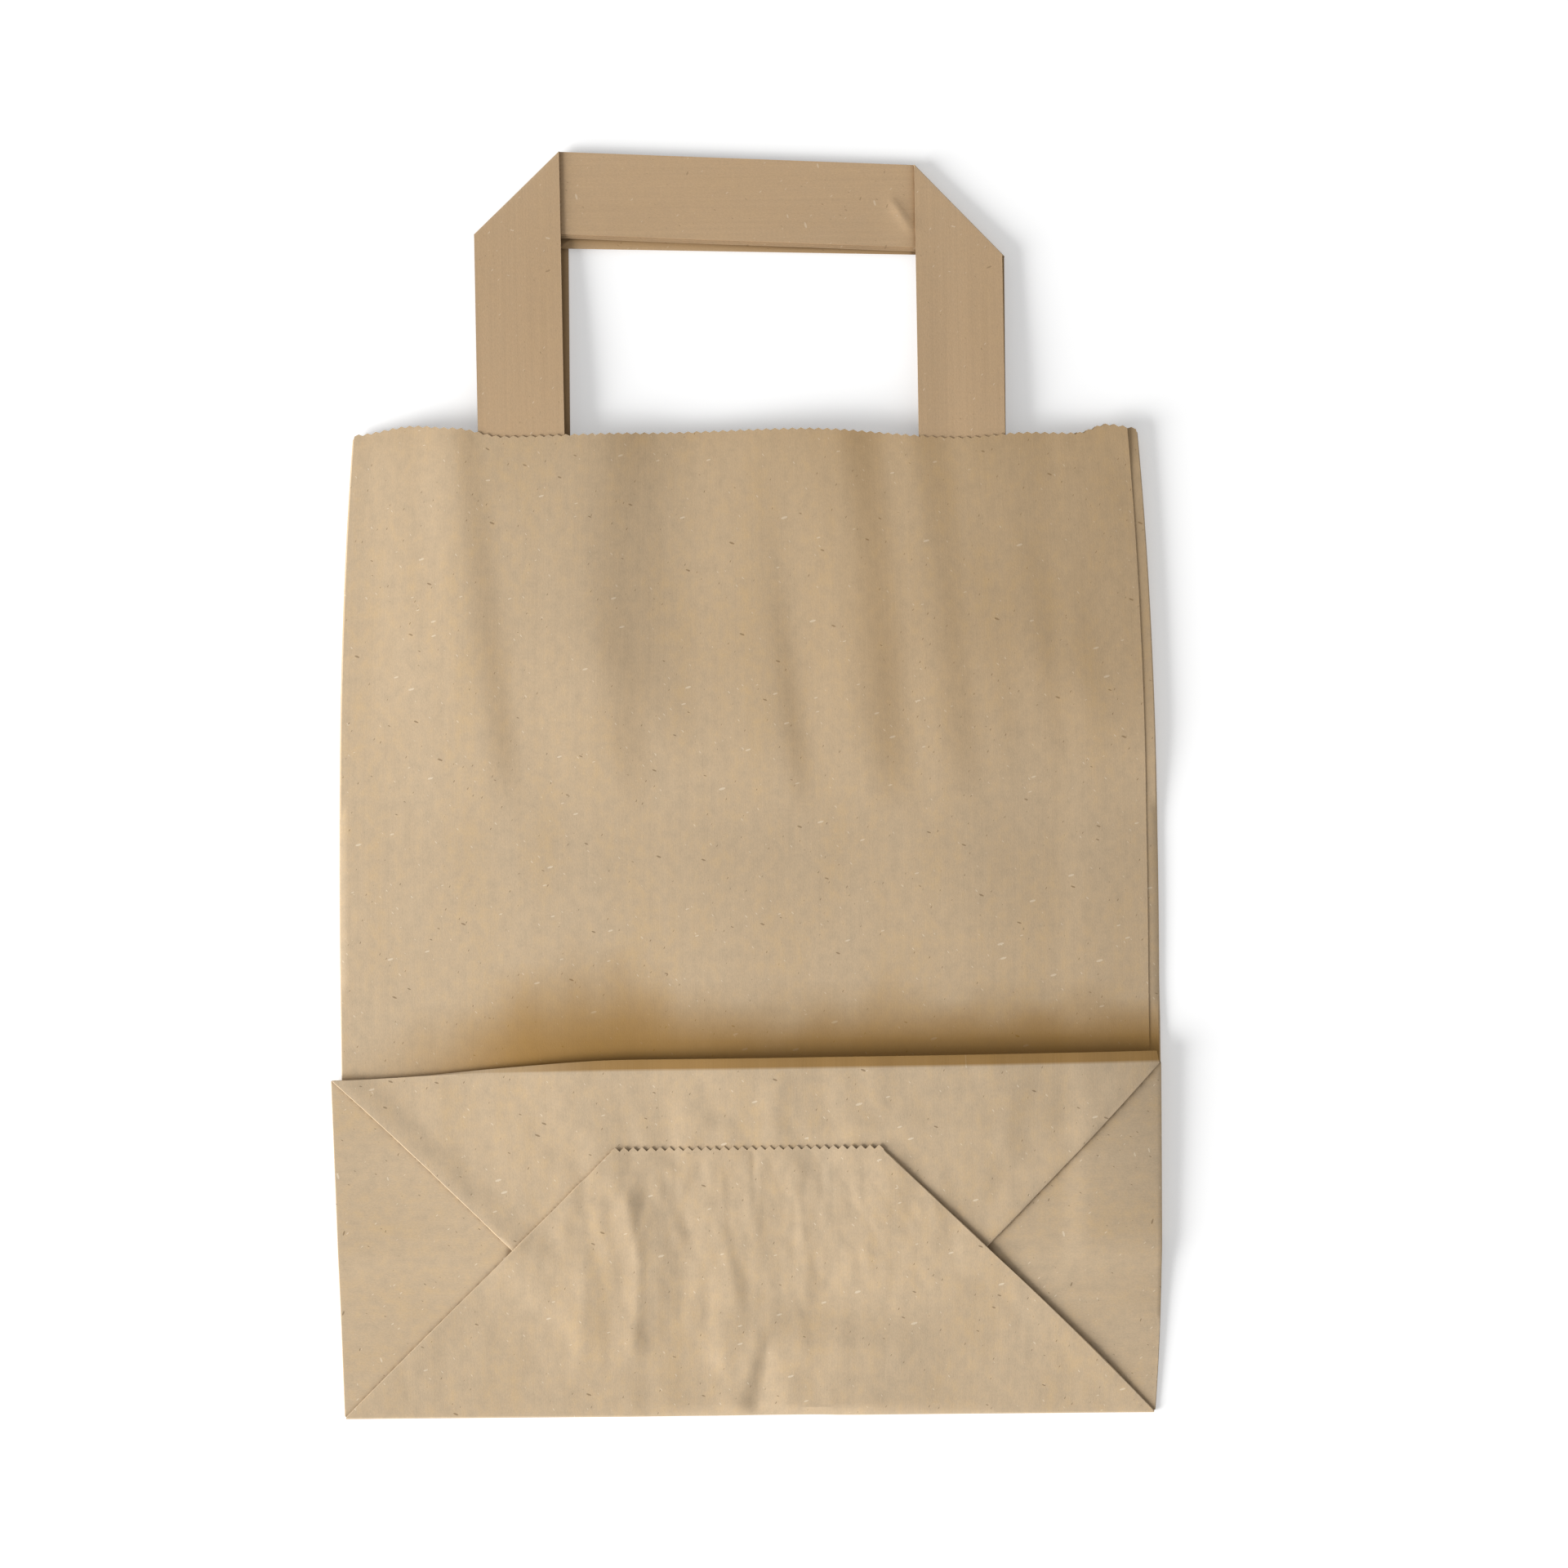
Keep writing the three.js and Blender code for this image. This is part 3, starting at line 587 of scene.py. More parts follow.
    def climb(self, x, turned):
        """How far up the bag the block leans, from its bottom fold at 0 to its top crease at 1."""
        share = (self.half + x) / self.bag.width
        crest = self.bag.crest * (smoothstep(share, 0, self.CREST_RUN) - self.LOW_CORNER)
        return self.bag.climb * turned * share + crest * turned**self.CREST_POWER

    def roll(self, x):
        """How far the paper stands out past the block's top crease: not at all at its left-hand end."""
        return self.bag.roll * self.rising(x, self.ROLL_SPAN)

    def past_block(self, x, y):
        """How far up the front panel a point lies from the block's edge."""
        edge = self.deep + self.climb(x, 1) + self.roll(x)
        return np.maximum(y - edge, 0)

    def pull(self, x, y):
        """How far the block, which lies flat only at its left, draws the front panel up beside it."""
        beside = np.clip(1 - (y - self.deep) / self.PULL_REACH, 0, 1) ** 2
        risen = np.clip(self.PULL_RISE * y / self.deep, 0, 1)
        held = 1 - self.PULL_HOLD * np.abs(x / self.half) ** self.PULL_POWER
        return self.bag.block_pull * beside * risen * self.rising(x, self.PULL_SPAN) * held

    def waves(self, x, y):
        """Upright waves of the front panel, which lean to the right and end below the patch."""
        near = self.near_mouth(y)
        below = self.top - y
        upper = wave(x - self.WAVE_LEAN * below, self.MOUTH_HEIGHTS) * near
        low_x = x - self.WAVE_LEAN * (below - self.PATCH_DEPTH)
        fade = (1 - near) * smoothstep(near, 0, self.WAVE_FADE)
        return upper + wave(low_x, self.PATCH_HEIGHTS) * fade

    def falling(self, x, y):
        """How steeply the waves fall to the right, and 0 where they rise."""
        drop = self.waves(x - self.FLANK, y) - self.waves(x + self.FLANK, y)
        return np.maximum(drop, 0) / (2 * self.FLANK)

    def air_before_gussets(self, x, y):
        uneven = 1 + unevenness(x, y, self.BUMP_SIZE, self.BUMP_SEED)
        bumps = self.BUMP_HEIGHT * uneven * (1 - self.from_axis(x) ** 2)
        return (1 - self.REAR_SHARE) * self.puff(x, y) + self.waves(x, y) + bumps + self.pull(x, y)

    def air_under_seam(self, x, y):
        """The front panel's free corner at the mouth stands a little open."""
        up = smoothstep(y, self.top - self.CORNER_REACH, self.top)
        aside = smoothstep(x, self.half - self.CORNER_REACH, self.half - self.CORNER_FLAT)
        return self.CORNER_LIFT * up * aside

    def block_spring(self, x, y):
        """Air in the block, which lies flat at its left-hand end and springs open towards its right."""
        closed = self.SPRING_HOLD * self.from_axis(x) ** self.SPRING_POWER
        opened = self.rising(x, self.SPRING_SPAN) * (1 - closed)
        return self.bag.block_spring * opened * smoothstep(y, 0, self.deep)

    def air_under_front_flap(self, x, y):
        """Soft upright puckers in the flap that the back one is pasted on."""
        held = (1 - self.from_axis(x) ** 2) * smoothstep(y, *self.FRONT_HOLD)
        return MM * held * (crumpled(x, y, self.FRONT_FACETS) + creased(x, y, self.FRONT_CREASES))

    def air_under_back_tuck(self, x, y):
        """The slanting edges of the back flap stand a little open, the right-hand one more."""
        inside = np.maximum(self.half - np.abs(x) - y, 0) / math.sqrt(2)
        held = self.GAPE_HOLD * smoothstep(y, self.middle, self.flap)
        along = smoothstep(y, 0, self.GAPE_RISE) * (1 - held)
        return np.where(x > 0, *self.GAPES) * along * np.exp(-inside / self.GAPE_REACH)

    def air_under_back_flap(self, x, y):
        """Creases where the pasted flap was pressed down."""
        held = smoothstep(y, 0, self.FOLD_HOLD) * (1 - smoothstep(y, self.flap - self.END_HOLD, self.flap))
        close = np.exp(-(((x - self.PRESSED_PLACE) / self.PRESSED_REACH) ** 2))
        pressed = between(self.PRESSED_LEAST, 1, close) * crumpled(x, y, self.BACK_FACETS)
        return MM * held * (pressed + creased(x, y, self.BACK_CREASES))

    def shelter(self, name):
        """The function that gives the strength of a panel's painted shade, from 0 to 1."""

        def front(x, y):
            # Painted shade: a band above the block's edge, a tone near the mouth and along its rim, more on
            # the flanks where the waves fall to the right, and more towards the right
            ragged = 1 + self.BAND_RAGGED * unevenness(x, y, self.BAND_CLOUD, self.BAND_SEED)
            past = self.past_block(x, y) / (wave(x, self.BAND_REACHES) * ragged)
            band = smoothstep(1 - past, 0, 1) * between(*self.BAND_SHADES, self.rising(x, self.BAND_SPAN))
            right = self.rising(x, self.RIGHT_SPAN)
            near = smoothstep(self.near_mouth(y), 0, self.MOUTH_SHADE_END)
            mouth = between(*self.MOUTH_SHADES, right) * near
            rim = self.RIM_SHADE * np.exp((y - self.top) / self.RIM_REACH)
            flanks = self.FLANK_SHADE * self.falling(x, y)
            return np.maximum(band, mouth + rim + flanks + self.RIGHT_SHADE * right)

        return front if name in ("front", "seamLap") else lambda x, y: np.zeros_like(x)

    def cover(self, name):
        """The function that gives how far a panel's paper lies from the nearest edge of paper over it, from
        which a painted shadow line is drawn.
        """
        over = {"frontFlap": ["backFlap"], "endFlap": ["frontFlap", "backFlap"]}
        teeth = {"top": self.bag.tooth_depth}
        covers = [inset_corners(self.whole[other], teeth) for other in over.get(name, ())]

        def nearest(x, y):
            gaps = [distance_outside(corners, x, y) for corners in covers]
            closest = np.min([np.full_like(x, UNCOVERED), *gaps], axis=0)
            return closest * between(1, self.SHADOW_WIDENING_SHARE, self.rising(x, self.SHADOW_WIDENING_SPAN))

        return nearest

    def height(self, name, x, y):
        """Height of a ply's middle over the floor."""
        level = np.zeros_like(x)
        for ply in self.plies:
            if ply.name == name:
                return level + (ply.pitch - PLY_AIR) / 2
            outside = np.min([distance_outside(corners, x, y) for corners in ply.covers], axis=0)
            level = level + ply.pitch * (1 - smoothstep(outside, PLY_MARGIN, PLY_MARGIN + ply.ease))
            if ply.air:
                level = level + ply.air(x, y)
        raise ValueError(f"no ply is called {name}")

    def draw_in(self, y):
        """What is left of the bag's width at a height, because its sides draw in towards the mouth."""
        up = np.clip((y - self.deep) / (self.top - self.deep), 0, 1)
        return 1 - (self.bag.draw_in / self.half) * up**self.DRAW_POWER

    def place(self, name):
        """The function that lifts a panel's plan into its place in the pile."""
        leans = name in self.block_names
        setback = 0 if name in ("front", "seamLap") else self.MOUTH_SETBACK

        def lifted(plan):
            x, y = plan.T
            turned = leans * y / self.deep
            share = (self.half + x) / self.bag.width
            lean = self.bag.lean * turned * (1 - share)
            nip = self.bag.nip * np.clip(1 - y / self.middle, 0, 1) ** 2 * share
            near = smoothstep(y, self.top - self.WAVER_REACH, self.top)
            waver = (wave(x, self.MOUTH_WAVER) - setback) * near
            across = x * self.draw_in(y) - lean - nip
            up = y + self.climb(x, turned) + waver
            return np.stack([across, up, self.height(name, x, y)], axis=1)

        return lifted

    def place_tape(self, name, far_height, lift):
        """Inside the bag the tape lies in its layer. Past the mouth it runs level to its far height."""
        front = name == "frontLegs"

        def lifted(plan):
            x, y = plan.T
            inside = np.minimum(y, self.top)
            start = self.height(name, x / self.draw_in(inside), inside)
            out = smoothstep(y, self.top, self.top + self.tape.rise)
            right = np.clip(x / self.tape.pitch + 0.5, 0, 1)
            if front:
                pinched = self.tape.pinch * ridge(x, y, *self.PINCH)
                tilt = self.tape.tilt * (1 - np.clip((y - self.top) / self.tape.rise, 0, 1))
                moved = tilt * (1 - self.RIGHT_LEG_STEADY * right)
            else:
                pinched = 0
                moved = self.tape.squeeze * (0.5 - right)
            return np.stack([x + moved, y, between(start, far_height, out) + lift + pinched], axis=1)

        return lifted

    def unfold(self, name):
        """The function that takes a left-hand panel's plan to its place in the flat blank."""
        half, deep = self.half, self.deep
        around = 2 * half + deep

        def flat(x, y):
            return {
                "back": (x, y),
                "front": (-around - x, y),
                "frontUnder": (-around - x, deep - y),
                "frontFlap": (-around - x, y - deep),
                "backFlap": (x, -y),
                "seamLap": (around - x, y),
                "seamLapUnder": (around - x, deep - y),
                "gussetBack": (-2 * half - x, y),
                "gussetFront": (x - deep, y),
                "cornerUnder": (x - deep, deep - y),
                "cornerOver": (-half - y, x + half),
                "endFlap": (-half - y, -half - x),
                "frontTuck": (y - half - 2 * deep, -half - x),
                "backTuck": (y - half, -half - x),
            }[name]

        return flat


def opposite(unfold):
    """The same unfolding for the panel on the other side of the bag."""

    def flat(x, y):
        across, up = unfold(-x, y)
        return -across, up

    return flat


def round_bend(share):
    return math.sin(math.pi * share)


def creased_bend(share):
    """Straight out to its edge, then straight back to the crease above."""
    return min(share / ROLL_PEAK, (1 - share) / (1 - ROLL_PEAK))


# A fold's greatest width as a share of its height, its steps, its section and the strength of painted shade
# on it
ROUND_FOLD = {"fullness": 0.5, "steps": FOLD_STEPS, "bend": round_bend, "shade": 0.0}
ROLLED_FOLD = {"fullness": 2.0, "steps": ROLL_STEPS, "bend": creased_bend, "shade": 0.75}

# What each point of the paper carries for its colour, with its value on plain open paper: wear of a
# crease, strength of the painted shade, and distance from the edge of paper that lies over it, from which a
# painted shadow line is drawn
PLAIN_PAPER = {"crease": 0.0, "shelter": 0.0, "cover": UNCOVERED}


def panel_edge(centre, row, start, end):
    """One side of a panel's grid, with the direction in plan that leads out of the panel."""
    along = end - start
    outwards = np.array((along[1], -along[0])) / max(np.hypot(*along), WELD_DISTANCE)
    if np.dot(outwards, centre - start) > 0:
        outwards = -outwards
    return {"row": row, "start": start, "end": end, "outwards": outwards}


def weld(mesh):
    """Join the points that meet, turn all faces alike and keep steep folds and cut edges sharp."""
    shape = bmesh.new()
    shape.from_mesh(mesh)
    bmesh.ops.remove_doubles(shape, verts=shape.verts, dist=WELD_DISTANCE)
    bmesh.ops.recalc_face_normals(shape, faces=shape.faces)
    shape.edges.index_update()
    cut_edges = [edge.index for edge in shape.edges if edge.is_boundary]
    shape.to_mesh(mesh)
    shape.free()
    mesh.shade_smooth()
    mesh.set_sharp_from_angle(angle=SHARP_ANGLE)
    for index in cut_edges:
        mesh.edges[index].use_edge_sharp = True


def add_object(name, data):
    """An object in the scene that holds a mesh, a lamp or a camera."""
    holder = bpy.data.objects.new(name, data)
    bpy.context.scene.collection.objects.link(holder)
    return holder


class FoldedSheet:
    """A sheet folded from panels: a grid of points for each panel and a strip for each fold."""

    def __init__(self, bag):
        self.tooth_pitch = bag.tooth_pitch
        self.points = []
        self.blank = []
        self.tones = {name: [] for name in PLAIN_PAPER}
        self.faces = []
        self.panels = {}

    def add_points(self, points, blank, tones):
        first = len(self.points)
        self.points.extend(map(tuple, points))
        self.blank.extend(map(tuple, blank))
        for name, plain in PLAIN_PAPER.items():
            self.tones[name].extend(np.broadcast_to(tones.get(name, plain), len(points)))
        return np.arange(first, len(self.points))

    def add_plan(self, plan, lay):
        blank = np.stack(lay["unfold"](*plan.T), axis=1)
        tones = {name: lay[name](*plan.T) for name in PLAIN_PAPER if name in lay}
        return self.add_points(lay["place"](plan), blank, tones)

    def add_quads(self, grid):
        corners = (grid[:-1, :-1], grid[:-1, 1:], grid[1:, 1:], grid[1:, :-1])
        self.faces.extend(np.stack(corners, axis=-1).reshape(-1, 4).tolist())

    def add_panel(self, name, corners, lay, columns, rows, inset, teeth=None):
        """A panel's grid. The functions place and unfold say how it lies, and perhaps those for painted
        shade and cover.
        """
        teeth = teeth or {}
        cut = {side: depth + EDGE_BAND for side, depth in teeth.items()}
        low_left, low_right, high_right, high_left = inset_corners(corners, {**inset, **cut})
        across = np.linspace(0, 1, columns + 1)[None, :, None]
        up = np.linspace(0, 1, rows + 1)[:, None, None]
        plan = between(between(low_left, high_left, up), between(low_right, high_right, up), across)
        grid = self.add_plan(plan.reshape(-1, 2), lay).reshape(rows + 1, columns + 1)
        self.add_quads(grid)
        edges = {
            "bottom": (grid[0], low_left, low_right),
            "top": (grid[-1], high_left, high_right),
            "left": (grid[:, 0], low_left, high_left),
            "right": (grid[:, -1], low_right, high_right),
        }
        centre = (low_left + low_right + high_right + high_left) / 4
        self.panels[name] = {side: panel_edge(centre, *edge) for side, edge in edges.items()}
        for side, depth in teeth.items():
            self.add_teeth(self.panels[name][side], depth, lay)

    def add_teeth(self, edge, depth, lay):
        """Saw teeth left by the knife that cut the web of paper."""
        along = edge["end"] - edge["start"]
        count = max(1, round(np.hypot(*along) / self.tooth_pitch))
        shares = np.arange(count + 1) / count
        roots = edge["start"] + shares[:, None] * along + edge["outwards"] * EDGE_BAND
        tips = roots[:-1] + along / count / 2 + edge["outwards"] * depth
        root_row = self.add_plan(roots, lay)
        tip_row = self.add_plan(tips, lay)
        self.stitch(edge["row"], root_row)
        self.faces.extend(zip(root_row[:-1], tip_row, root_row[1:]))

    def stitch(self, first, second):
        """Triangles between two rows of points with different counts."""
        i, k = 0, 0
        while i < len(first) - 1 or k < len(second) - 1:
            first_next = (i + 1) / (len(first) - 1)
            second_next = (k + 1) / (len(second) - 1)
            if k == len(second) - 1 or (i < len(first) - 1 and first_next <= second_next):
                self.faces.append((first[i], second[k], first[i + 1]))
                i += 1
            else:
                self.faces.append((first[i], second[k], second[k + 1]))
                k += 1

    def add_fold(self, first, first_side, second, second_side, bulge, form=ROUND_FOLD):
        """A bent strip between one side of a panel and one side of another above or below it."""
        points = np.array(self.points)
        blank = np.array(self.blank)
        edge = self.panels[first][first_side]
        row = edge["row"]
        other = self.panels[second][second_side]["row"]
        start = points[row[0]]
        if np.linalg.norm(start - points[other[0]]) > np.linalg.norm(start - points[other[-1]]):
            other = other[::-1]
        gap = points[other] - points[row]
        widest = np.minimum(np.abs(gap[:, 2:]) * form["fullness"], np.reshape(bulge, (-1, 1)))
        outwards = np.append(edge["outwards"], 0)
        # Painted shade on the rolled strip, strongest where it stands out furthest
        shade = form["shade"] * widest.ravel() / np.max(bulge)
        tones = {"crease": 1.0, "shelter": shade}
        rows = [row]
        for k in range(1, form["steps"]):
            share = k / form["steps"]
            bent = points[row] + gap * share + outwards * widest * form["bend"](share)
            rows.append(self.add_points(bent, between(blank[row], blank[other], share), tones))
        rows.append(other)
        self.add_quads(np.array(rows))
        for index in (*row, *other):
            self.tones["crease"][index] = 1.0

    def make(self, name, thickness, material):
        """The Blender object, moved from the bag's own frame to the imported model's."""
        mesh = bpy.data.meshes.new(name)
        faces = [tuple(map(int, face)) for face in self.faces]
        mesh.from_pydata(np.array(self.points) + fold_origin(), [], faces)
        flat = np.pad(np.array(self.blank), ((0, 0), (0, 1)))
        mesh.attributes.new("blank", "FLOAT_VECTOR", "POINT").data.foreach_set("vector", flat.ravel())
        for tone, values in self.tones.items():
            mesh.attributes.new(tone, "FLOAT", "POINT").data.foreach_set("value", values)
        weld(mesh)
        mesh.materials.append(material)
        piece = add_object(name, mesh)
        solid = piece.modifiers.new("Paper thickness", "SOLIDIFY")
        solid.thickness = thickness
        solid.offset = 0
        return piece


def fold_origin():
    """Where the bottom fold meets the bag's axis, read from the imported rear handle."""
    settings = bpy.context.scene.carrier_bag
    low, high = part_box("rear_handle")
    rear_offset = settings.tape.front_offset + settings.tape.rear_shift
    leg_end = settings.bag.height - settings.tape.depth
    return np.array(((low[0] + high[0]) / 2 - rear_offset, low[1] - leg_end, 0))


def paired_folds(hand):
    """The folds of one side of the bag: panels, the sides that they join, and how deep it is nested."""
    side = hand.lower()
    lap, lap_under = ("seamLap", "seamLapUnder") if hand == "Right" else ("front", "frontUnder")
    return [
        ("back", side, f"gussetBack{hand}", "left", 0),
        (f"gussetBack{hand}", "right", f"gussetFront{hand}", "right", 0),
        (f"gussetFront{hand}", "left", lap, "left", 0),
        (f"cornerUnder{hand}", "left", lap_under, "left", 0),
        (f"gussetFront{hand}", "bottom", f"cornerUnder{hand}", "bottom", 3),
        (f"gussetBack{hand}", "bottom", f"cornerOver{hand}", "bottom", 0),
        (f"cornerUnder{hand}", "top", f"cornerOver{hand}", "top", 0),
        (f"cornerOver{hand}", "left", f"endFlap{hand}", "left", 0),
        (f"endFlap{hand}", "top", f"frontTuck{hand}", "top", 1),
        (f"endFlap{hand}", "bottom", f"backTuck{hand}", "bottom", 1),
        (f"frontTuck{hand}", "bottom", "frontFlap", side, 0),
        (f"backTuck{hand}", "top", "backFlap", side, 0),
    ]


BAG_FOLDS = [
    ("back", "bottom", "backFlap", "bottom", 0),
    ("front", "bottom", "frontUnder", "bottom", 3),
    ("seamLap", "bottom", "seamLapUnder", "bottom", 3),
    *paired_folds("Left"),
    *paired_folds("Right"),
]
ROLL_FOLD = ("frontUnder", "top", "frontFlap", "bottom", 0)

# Columns and rows of each panel's grid
GRIDS = {
    "back": (BACK_WIDTH_STEPS, LENGTH_STEPS),
    "front": (WIDTH_STEPS, LENGTH_STEPS),
    "frontUnder": (WIDTH_STEPS, UNDER_STEPS),
    "frontFlap": (WIDTH_STEPS, FLAP_STEPS),
    "backFlap": (BACK_WIDTH_STEPS, FLAP_STEPS),
    "seamLap": (LAP_STEPS, LENGTH_STEPS),
    "seamLapUnder": (LAP_STEPS, UNDER_STEPS),
    "gussetBack": (GUSSET_STEPS, LENGTH_STEPS),
    "gussetFront": (GUSSET_STEPS, LENGTH_STEPS),
    "cornerUnder": (GUSSET_STEPS, UNDER_STEPS),
    "cornerOver": (GUSSET_STEPS, BLOCK_STEPS),
    "endFlap": (FLAP_STEPS, BLOCK_STEPS),
    "frontTuck": (FLAP_STEPS, TUCK_STEPS),
    "backTuck": (FLAP_STEPS, TUCK_STEPS),
}
MOUTH_PANELS = ("back", "front", "seamLap", "gussetBack", "gussetFront")
BOTTOM_FLAPS = ("frontFlap", "backFlap")


def fold_bag(settings):
    """The bag's sheet, with every panel and fold in its place."""
    plan = BagPlan(settings.bag, settings.tape)
    sheet = FoldedSheet(settings.bag)
    slack = FOLD_SLACK * plan.pitch
    teeth_depths = dict.fromkeys(MOUTH_PANELS, settings.bag.mouth_tooth_depth)
    teeth_depths.update(dict.fromkeys(BOTTOM_FLAPS, settings.bag.tooth_depth))
    insets = {}
    for first, first_side, second, second_side, nested in [*BAG_FOLDS, ROLL_FOLD]:
        insets.setdefault(first, {})[first_side] = slack * (1 + nested)
        insets.setdefault(second, {})[second_side] = slack * (1 + nested)

    def add(name, ply, corners, unfold):
        columns, rows = GRIDS[ply]
        teeth = {"top": teeth_depths[ply]} if ply in teeth_depths else {}
        lay = {
            "place": plan.place(ply),
            "unfold": unfold,
            "shelter": plan.shelter(ply),
            "cover": plan.cover(ply),
        }
        sheet.add_panel(name, corners, lay, columns, rows, insets.get(name, {}), teeth)

    for ply, corners in plan.whole.items():
        add(ply, ply, corners, plan.unfold(ply))
    for ply, corners in plan.paired.items():
        left = plan.unfold(ply)
        add(f"{ply}Left", ply, corners, left)
        add(f"{ply}Right", ply, mirrored(corners), opposite(left))
    for first, first_side, second, second_side, _ in BAG_FOLDS:
        sheet.add_fold(first, first_side, second, second_side, 2 * slack)
    first, first_side, second, second_side, _ = ROLL_FOLD
    crease = sheet.panels[first][first_side]["row"]
    across = np.array(sheet.points)[crease, 0]
    sheet.add_fold(first, first_side, second, second_side, plan.roll(across), ROLLED_FOLD)
    return sheet


# Painted shade on the rear handle beside the edges of the front handle: its strength and reach
TAPE_SHADE = 0.35
TAPE_SHADE_REACH = 2.5 * MM


def fold_tape(settings, outlines, layer, far_height, legs_over, covers):
    """A handle: a tape of several plies folded twice, its legs over or under its bar."""
    plan = BagPlan(settings.bag, settings.tape)
    sheet = FoldedSheet(settings.bag)
    tape = settings.tape
    ply_pitch = tape.thickness / TAPE_PLIES
    way = 1 if legs_over else -1

    def bared_by(ply):
        return tape.ply_step * (1 - ply / (TAPE_PLIES - 1))

    # How far a point lies from the nearest edge of tape over it, from which a painted shadow line is drawn
    def uncovered(x, y, upper=None):
        gaps = {name: distance_outside(plan.front_handle[name], x, y) for name in covers}
        # The painted shadow line beside the right-hand leg is drawn wider
        gaps["rightLeg"] = gaps["rightLeg"] * plan.SHADOW_WIDENING_SHARE
        if upper is not None:
            gaps["upper"] = distance_outside(upper, x, y)
        return np.min(list(gaps.values()), axis=0)

    def tape_painted_shade(x, y):
        close = 1 - smoothstep(uncovered(x, y), 0, TAPE_SHADE_REACH)
        return TAPE_SHADE * close * (not legs_over)

    for ply in range(TAPE_PLIES):
        upper = None
        if legs_over and ply > 0:
            upper = inset_corners(outlines["bar"], {"bottom": bared_by(ply - 1)})
        shift = way * (ply - (TAPE_PLIES - 1) / 2) * ply_pitch
        bar = {
            "place": plan.place_tape(layer, far_height, -way * plan.tape_pitch - shift),
            "unfold": lambda x, y: (y, x),
            "cover": lambda x, y, upper=upper: uncovered(x, y, upper),
            "shelter": tape_painted_shade,
        }
        bend = FOLD_SLACK * ply_pitch
        for leg in LEGS:
            corner = outlines[leg][0]
            lay = {
                "place": plan.place_tape(layer, far_height, shift),
                "unfold": lambda x, y, corner=corner: (x - corner[0], y - corner[1]),
            }
            if not legs_over:
                lay["cover"] = uncovered
                lay["shelter"] = tape_painted_shade
            sheet.add_panel(f"{leg}{ply}", outlines[leg], lay, TAPE_WIDTH_STEPS, TAPE_STEPS, {"top": bend})
        inset = {"left": bend, "right": bend, "bottom": bared_by(ply)}
        sheet.add_panel(f"bar{ply}", outlines["bar"], bar, TAPE_STEPS, TAPE_WIDTH_STEPS, inset)
        sheet.add_fold(f"leftLeg{ply}", "top", f"bar{ply}", "left", bend)
        sheet.add_fold(f"rightLeg{ply}", "top", f"bar{ply}", "right", bend)
    return sheet


def cut_patch(settings, offset, layer):
    """The paper pasted over a handle's legs inside the mouth."""
    plan = BagPlan(settings.bag, settings.tape)
    sheet = FoldedSheet(settings.bag)
    lay = {"place": plan.place(layer), "unfold": lambda x, y: (x, y)}
    sheet.add_panel("patch", plan.patch(offset), lay, WIDTH_STEPS, TUCK_STEPS, {})
    return sheet


def wire(tree, node, inputs):
    """Link a node's inputs to sockets, or set them to values."""
    for key, value in dict(inputs).items():
        if isinstance(value, bpy.types.NodeSocket):
            tree.links.new(value, node.inputs[key])
        else:
            node.inputs[key].default_value = value


def add_node(tree, kind, inputs=(), **settings):
    """A shader node with its settings and its inputs."""
    node = tree.nodes.new(kind)
    for key, value in settings.items():
        setattr(node, key, value)
    wire(tree, node, inputs)
    return node


def calculate(tree, operation, *values):
    return add_node(tree, "ShaderNodeMath", enumerate(values), operation=operation).outputs[0]


def product(tree, first, second):
    return calculate(tree, "MULTIPLY", first, second)


def added(tree, value, factor, rest):
    """A value times a factor, added to the rest."""
    return calculate(tree, "MULTIPLY_ADD", value, factor, rest)


def mix_colours(tree, factor, first, second):
    node = add_node(tree, "ShaderNodeMix", {0: factor, 6: first, 7: second}, data_type="RGBA")
    return node.outputs[2]


def pattern(tree, vector, scale, detail, roughness):
    """Noise between about -1 and 1, with so many waves to a metre across and along the paper."""
    stretched = add_node(tree, "ShaderNodeVectorMath", {0: vector, 1: (*scale, 1)}, operation="MULTIPLY")
    inputs = {"Vector": stretched.outputs[0], "Scale": 1.0, "Detail": detail, "Roughness": roughness}
    noise_node = add_node(tree, "ShaderNodeTexNoise", inputs, noise_dimensions="2D")
    return added(tree, noise_node.outputs[0], 2.0, -1.0)


def group_tree(name, inputs, outputs):
    """A new shader node group with its sockets, listed by their kind, and the nodes that hold them."""
    tree = bpy.data.node_groups.new(name, "ShaderNodeTree")
    for in_out, sockets in (("INPUT", inputs), ("OUTPUT", outputs)):
        for kind, labels in sockets.items():
            for label in labels.split():
                tree.interface.new_socket(label, in_out=in_out, socket_type=f"NodeSocket{kind}")
    return tree, tree.nodes.new("NodeGroupInput").outputs, tree.nodes.new("NodeGroupOutput").inputs


# Clouds, mottle, streaks and grain: waves to a metre across and along the web, detail and roughness
PULP_PATTERNS = (((80, 26), 4, 0.6), ((430, 330), 4, 0.6), ((1500, 24), 2, 0.5), ((3200, 1700), 2, 0.7))
STAIN_CLOUDS = 0.9
STAIN_PALE = 0.35
SHADE_CLOUDS = 0.3
SHADE_DEPTH = 0.5
STREAK_RELIEF = 0.6
MOTTLE_RELIEF = 0.8


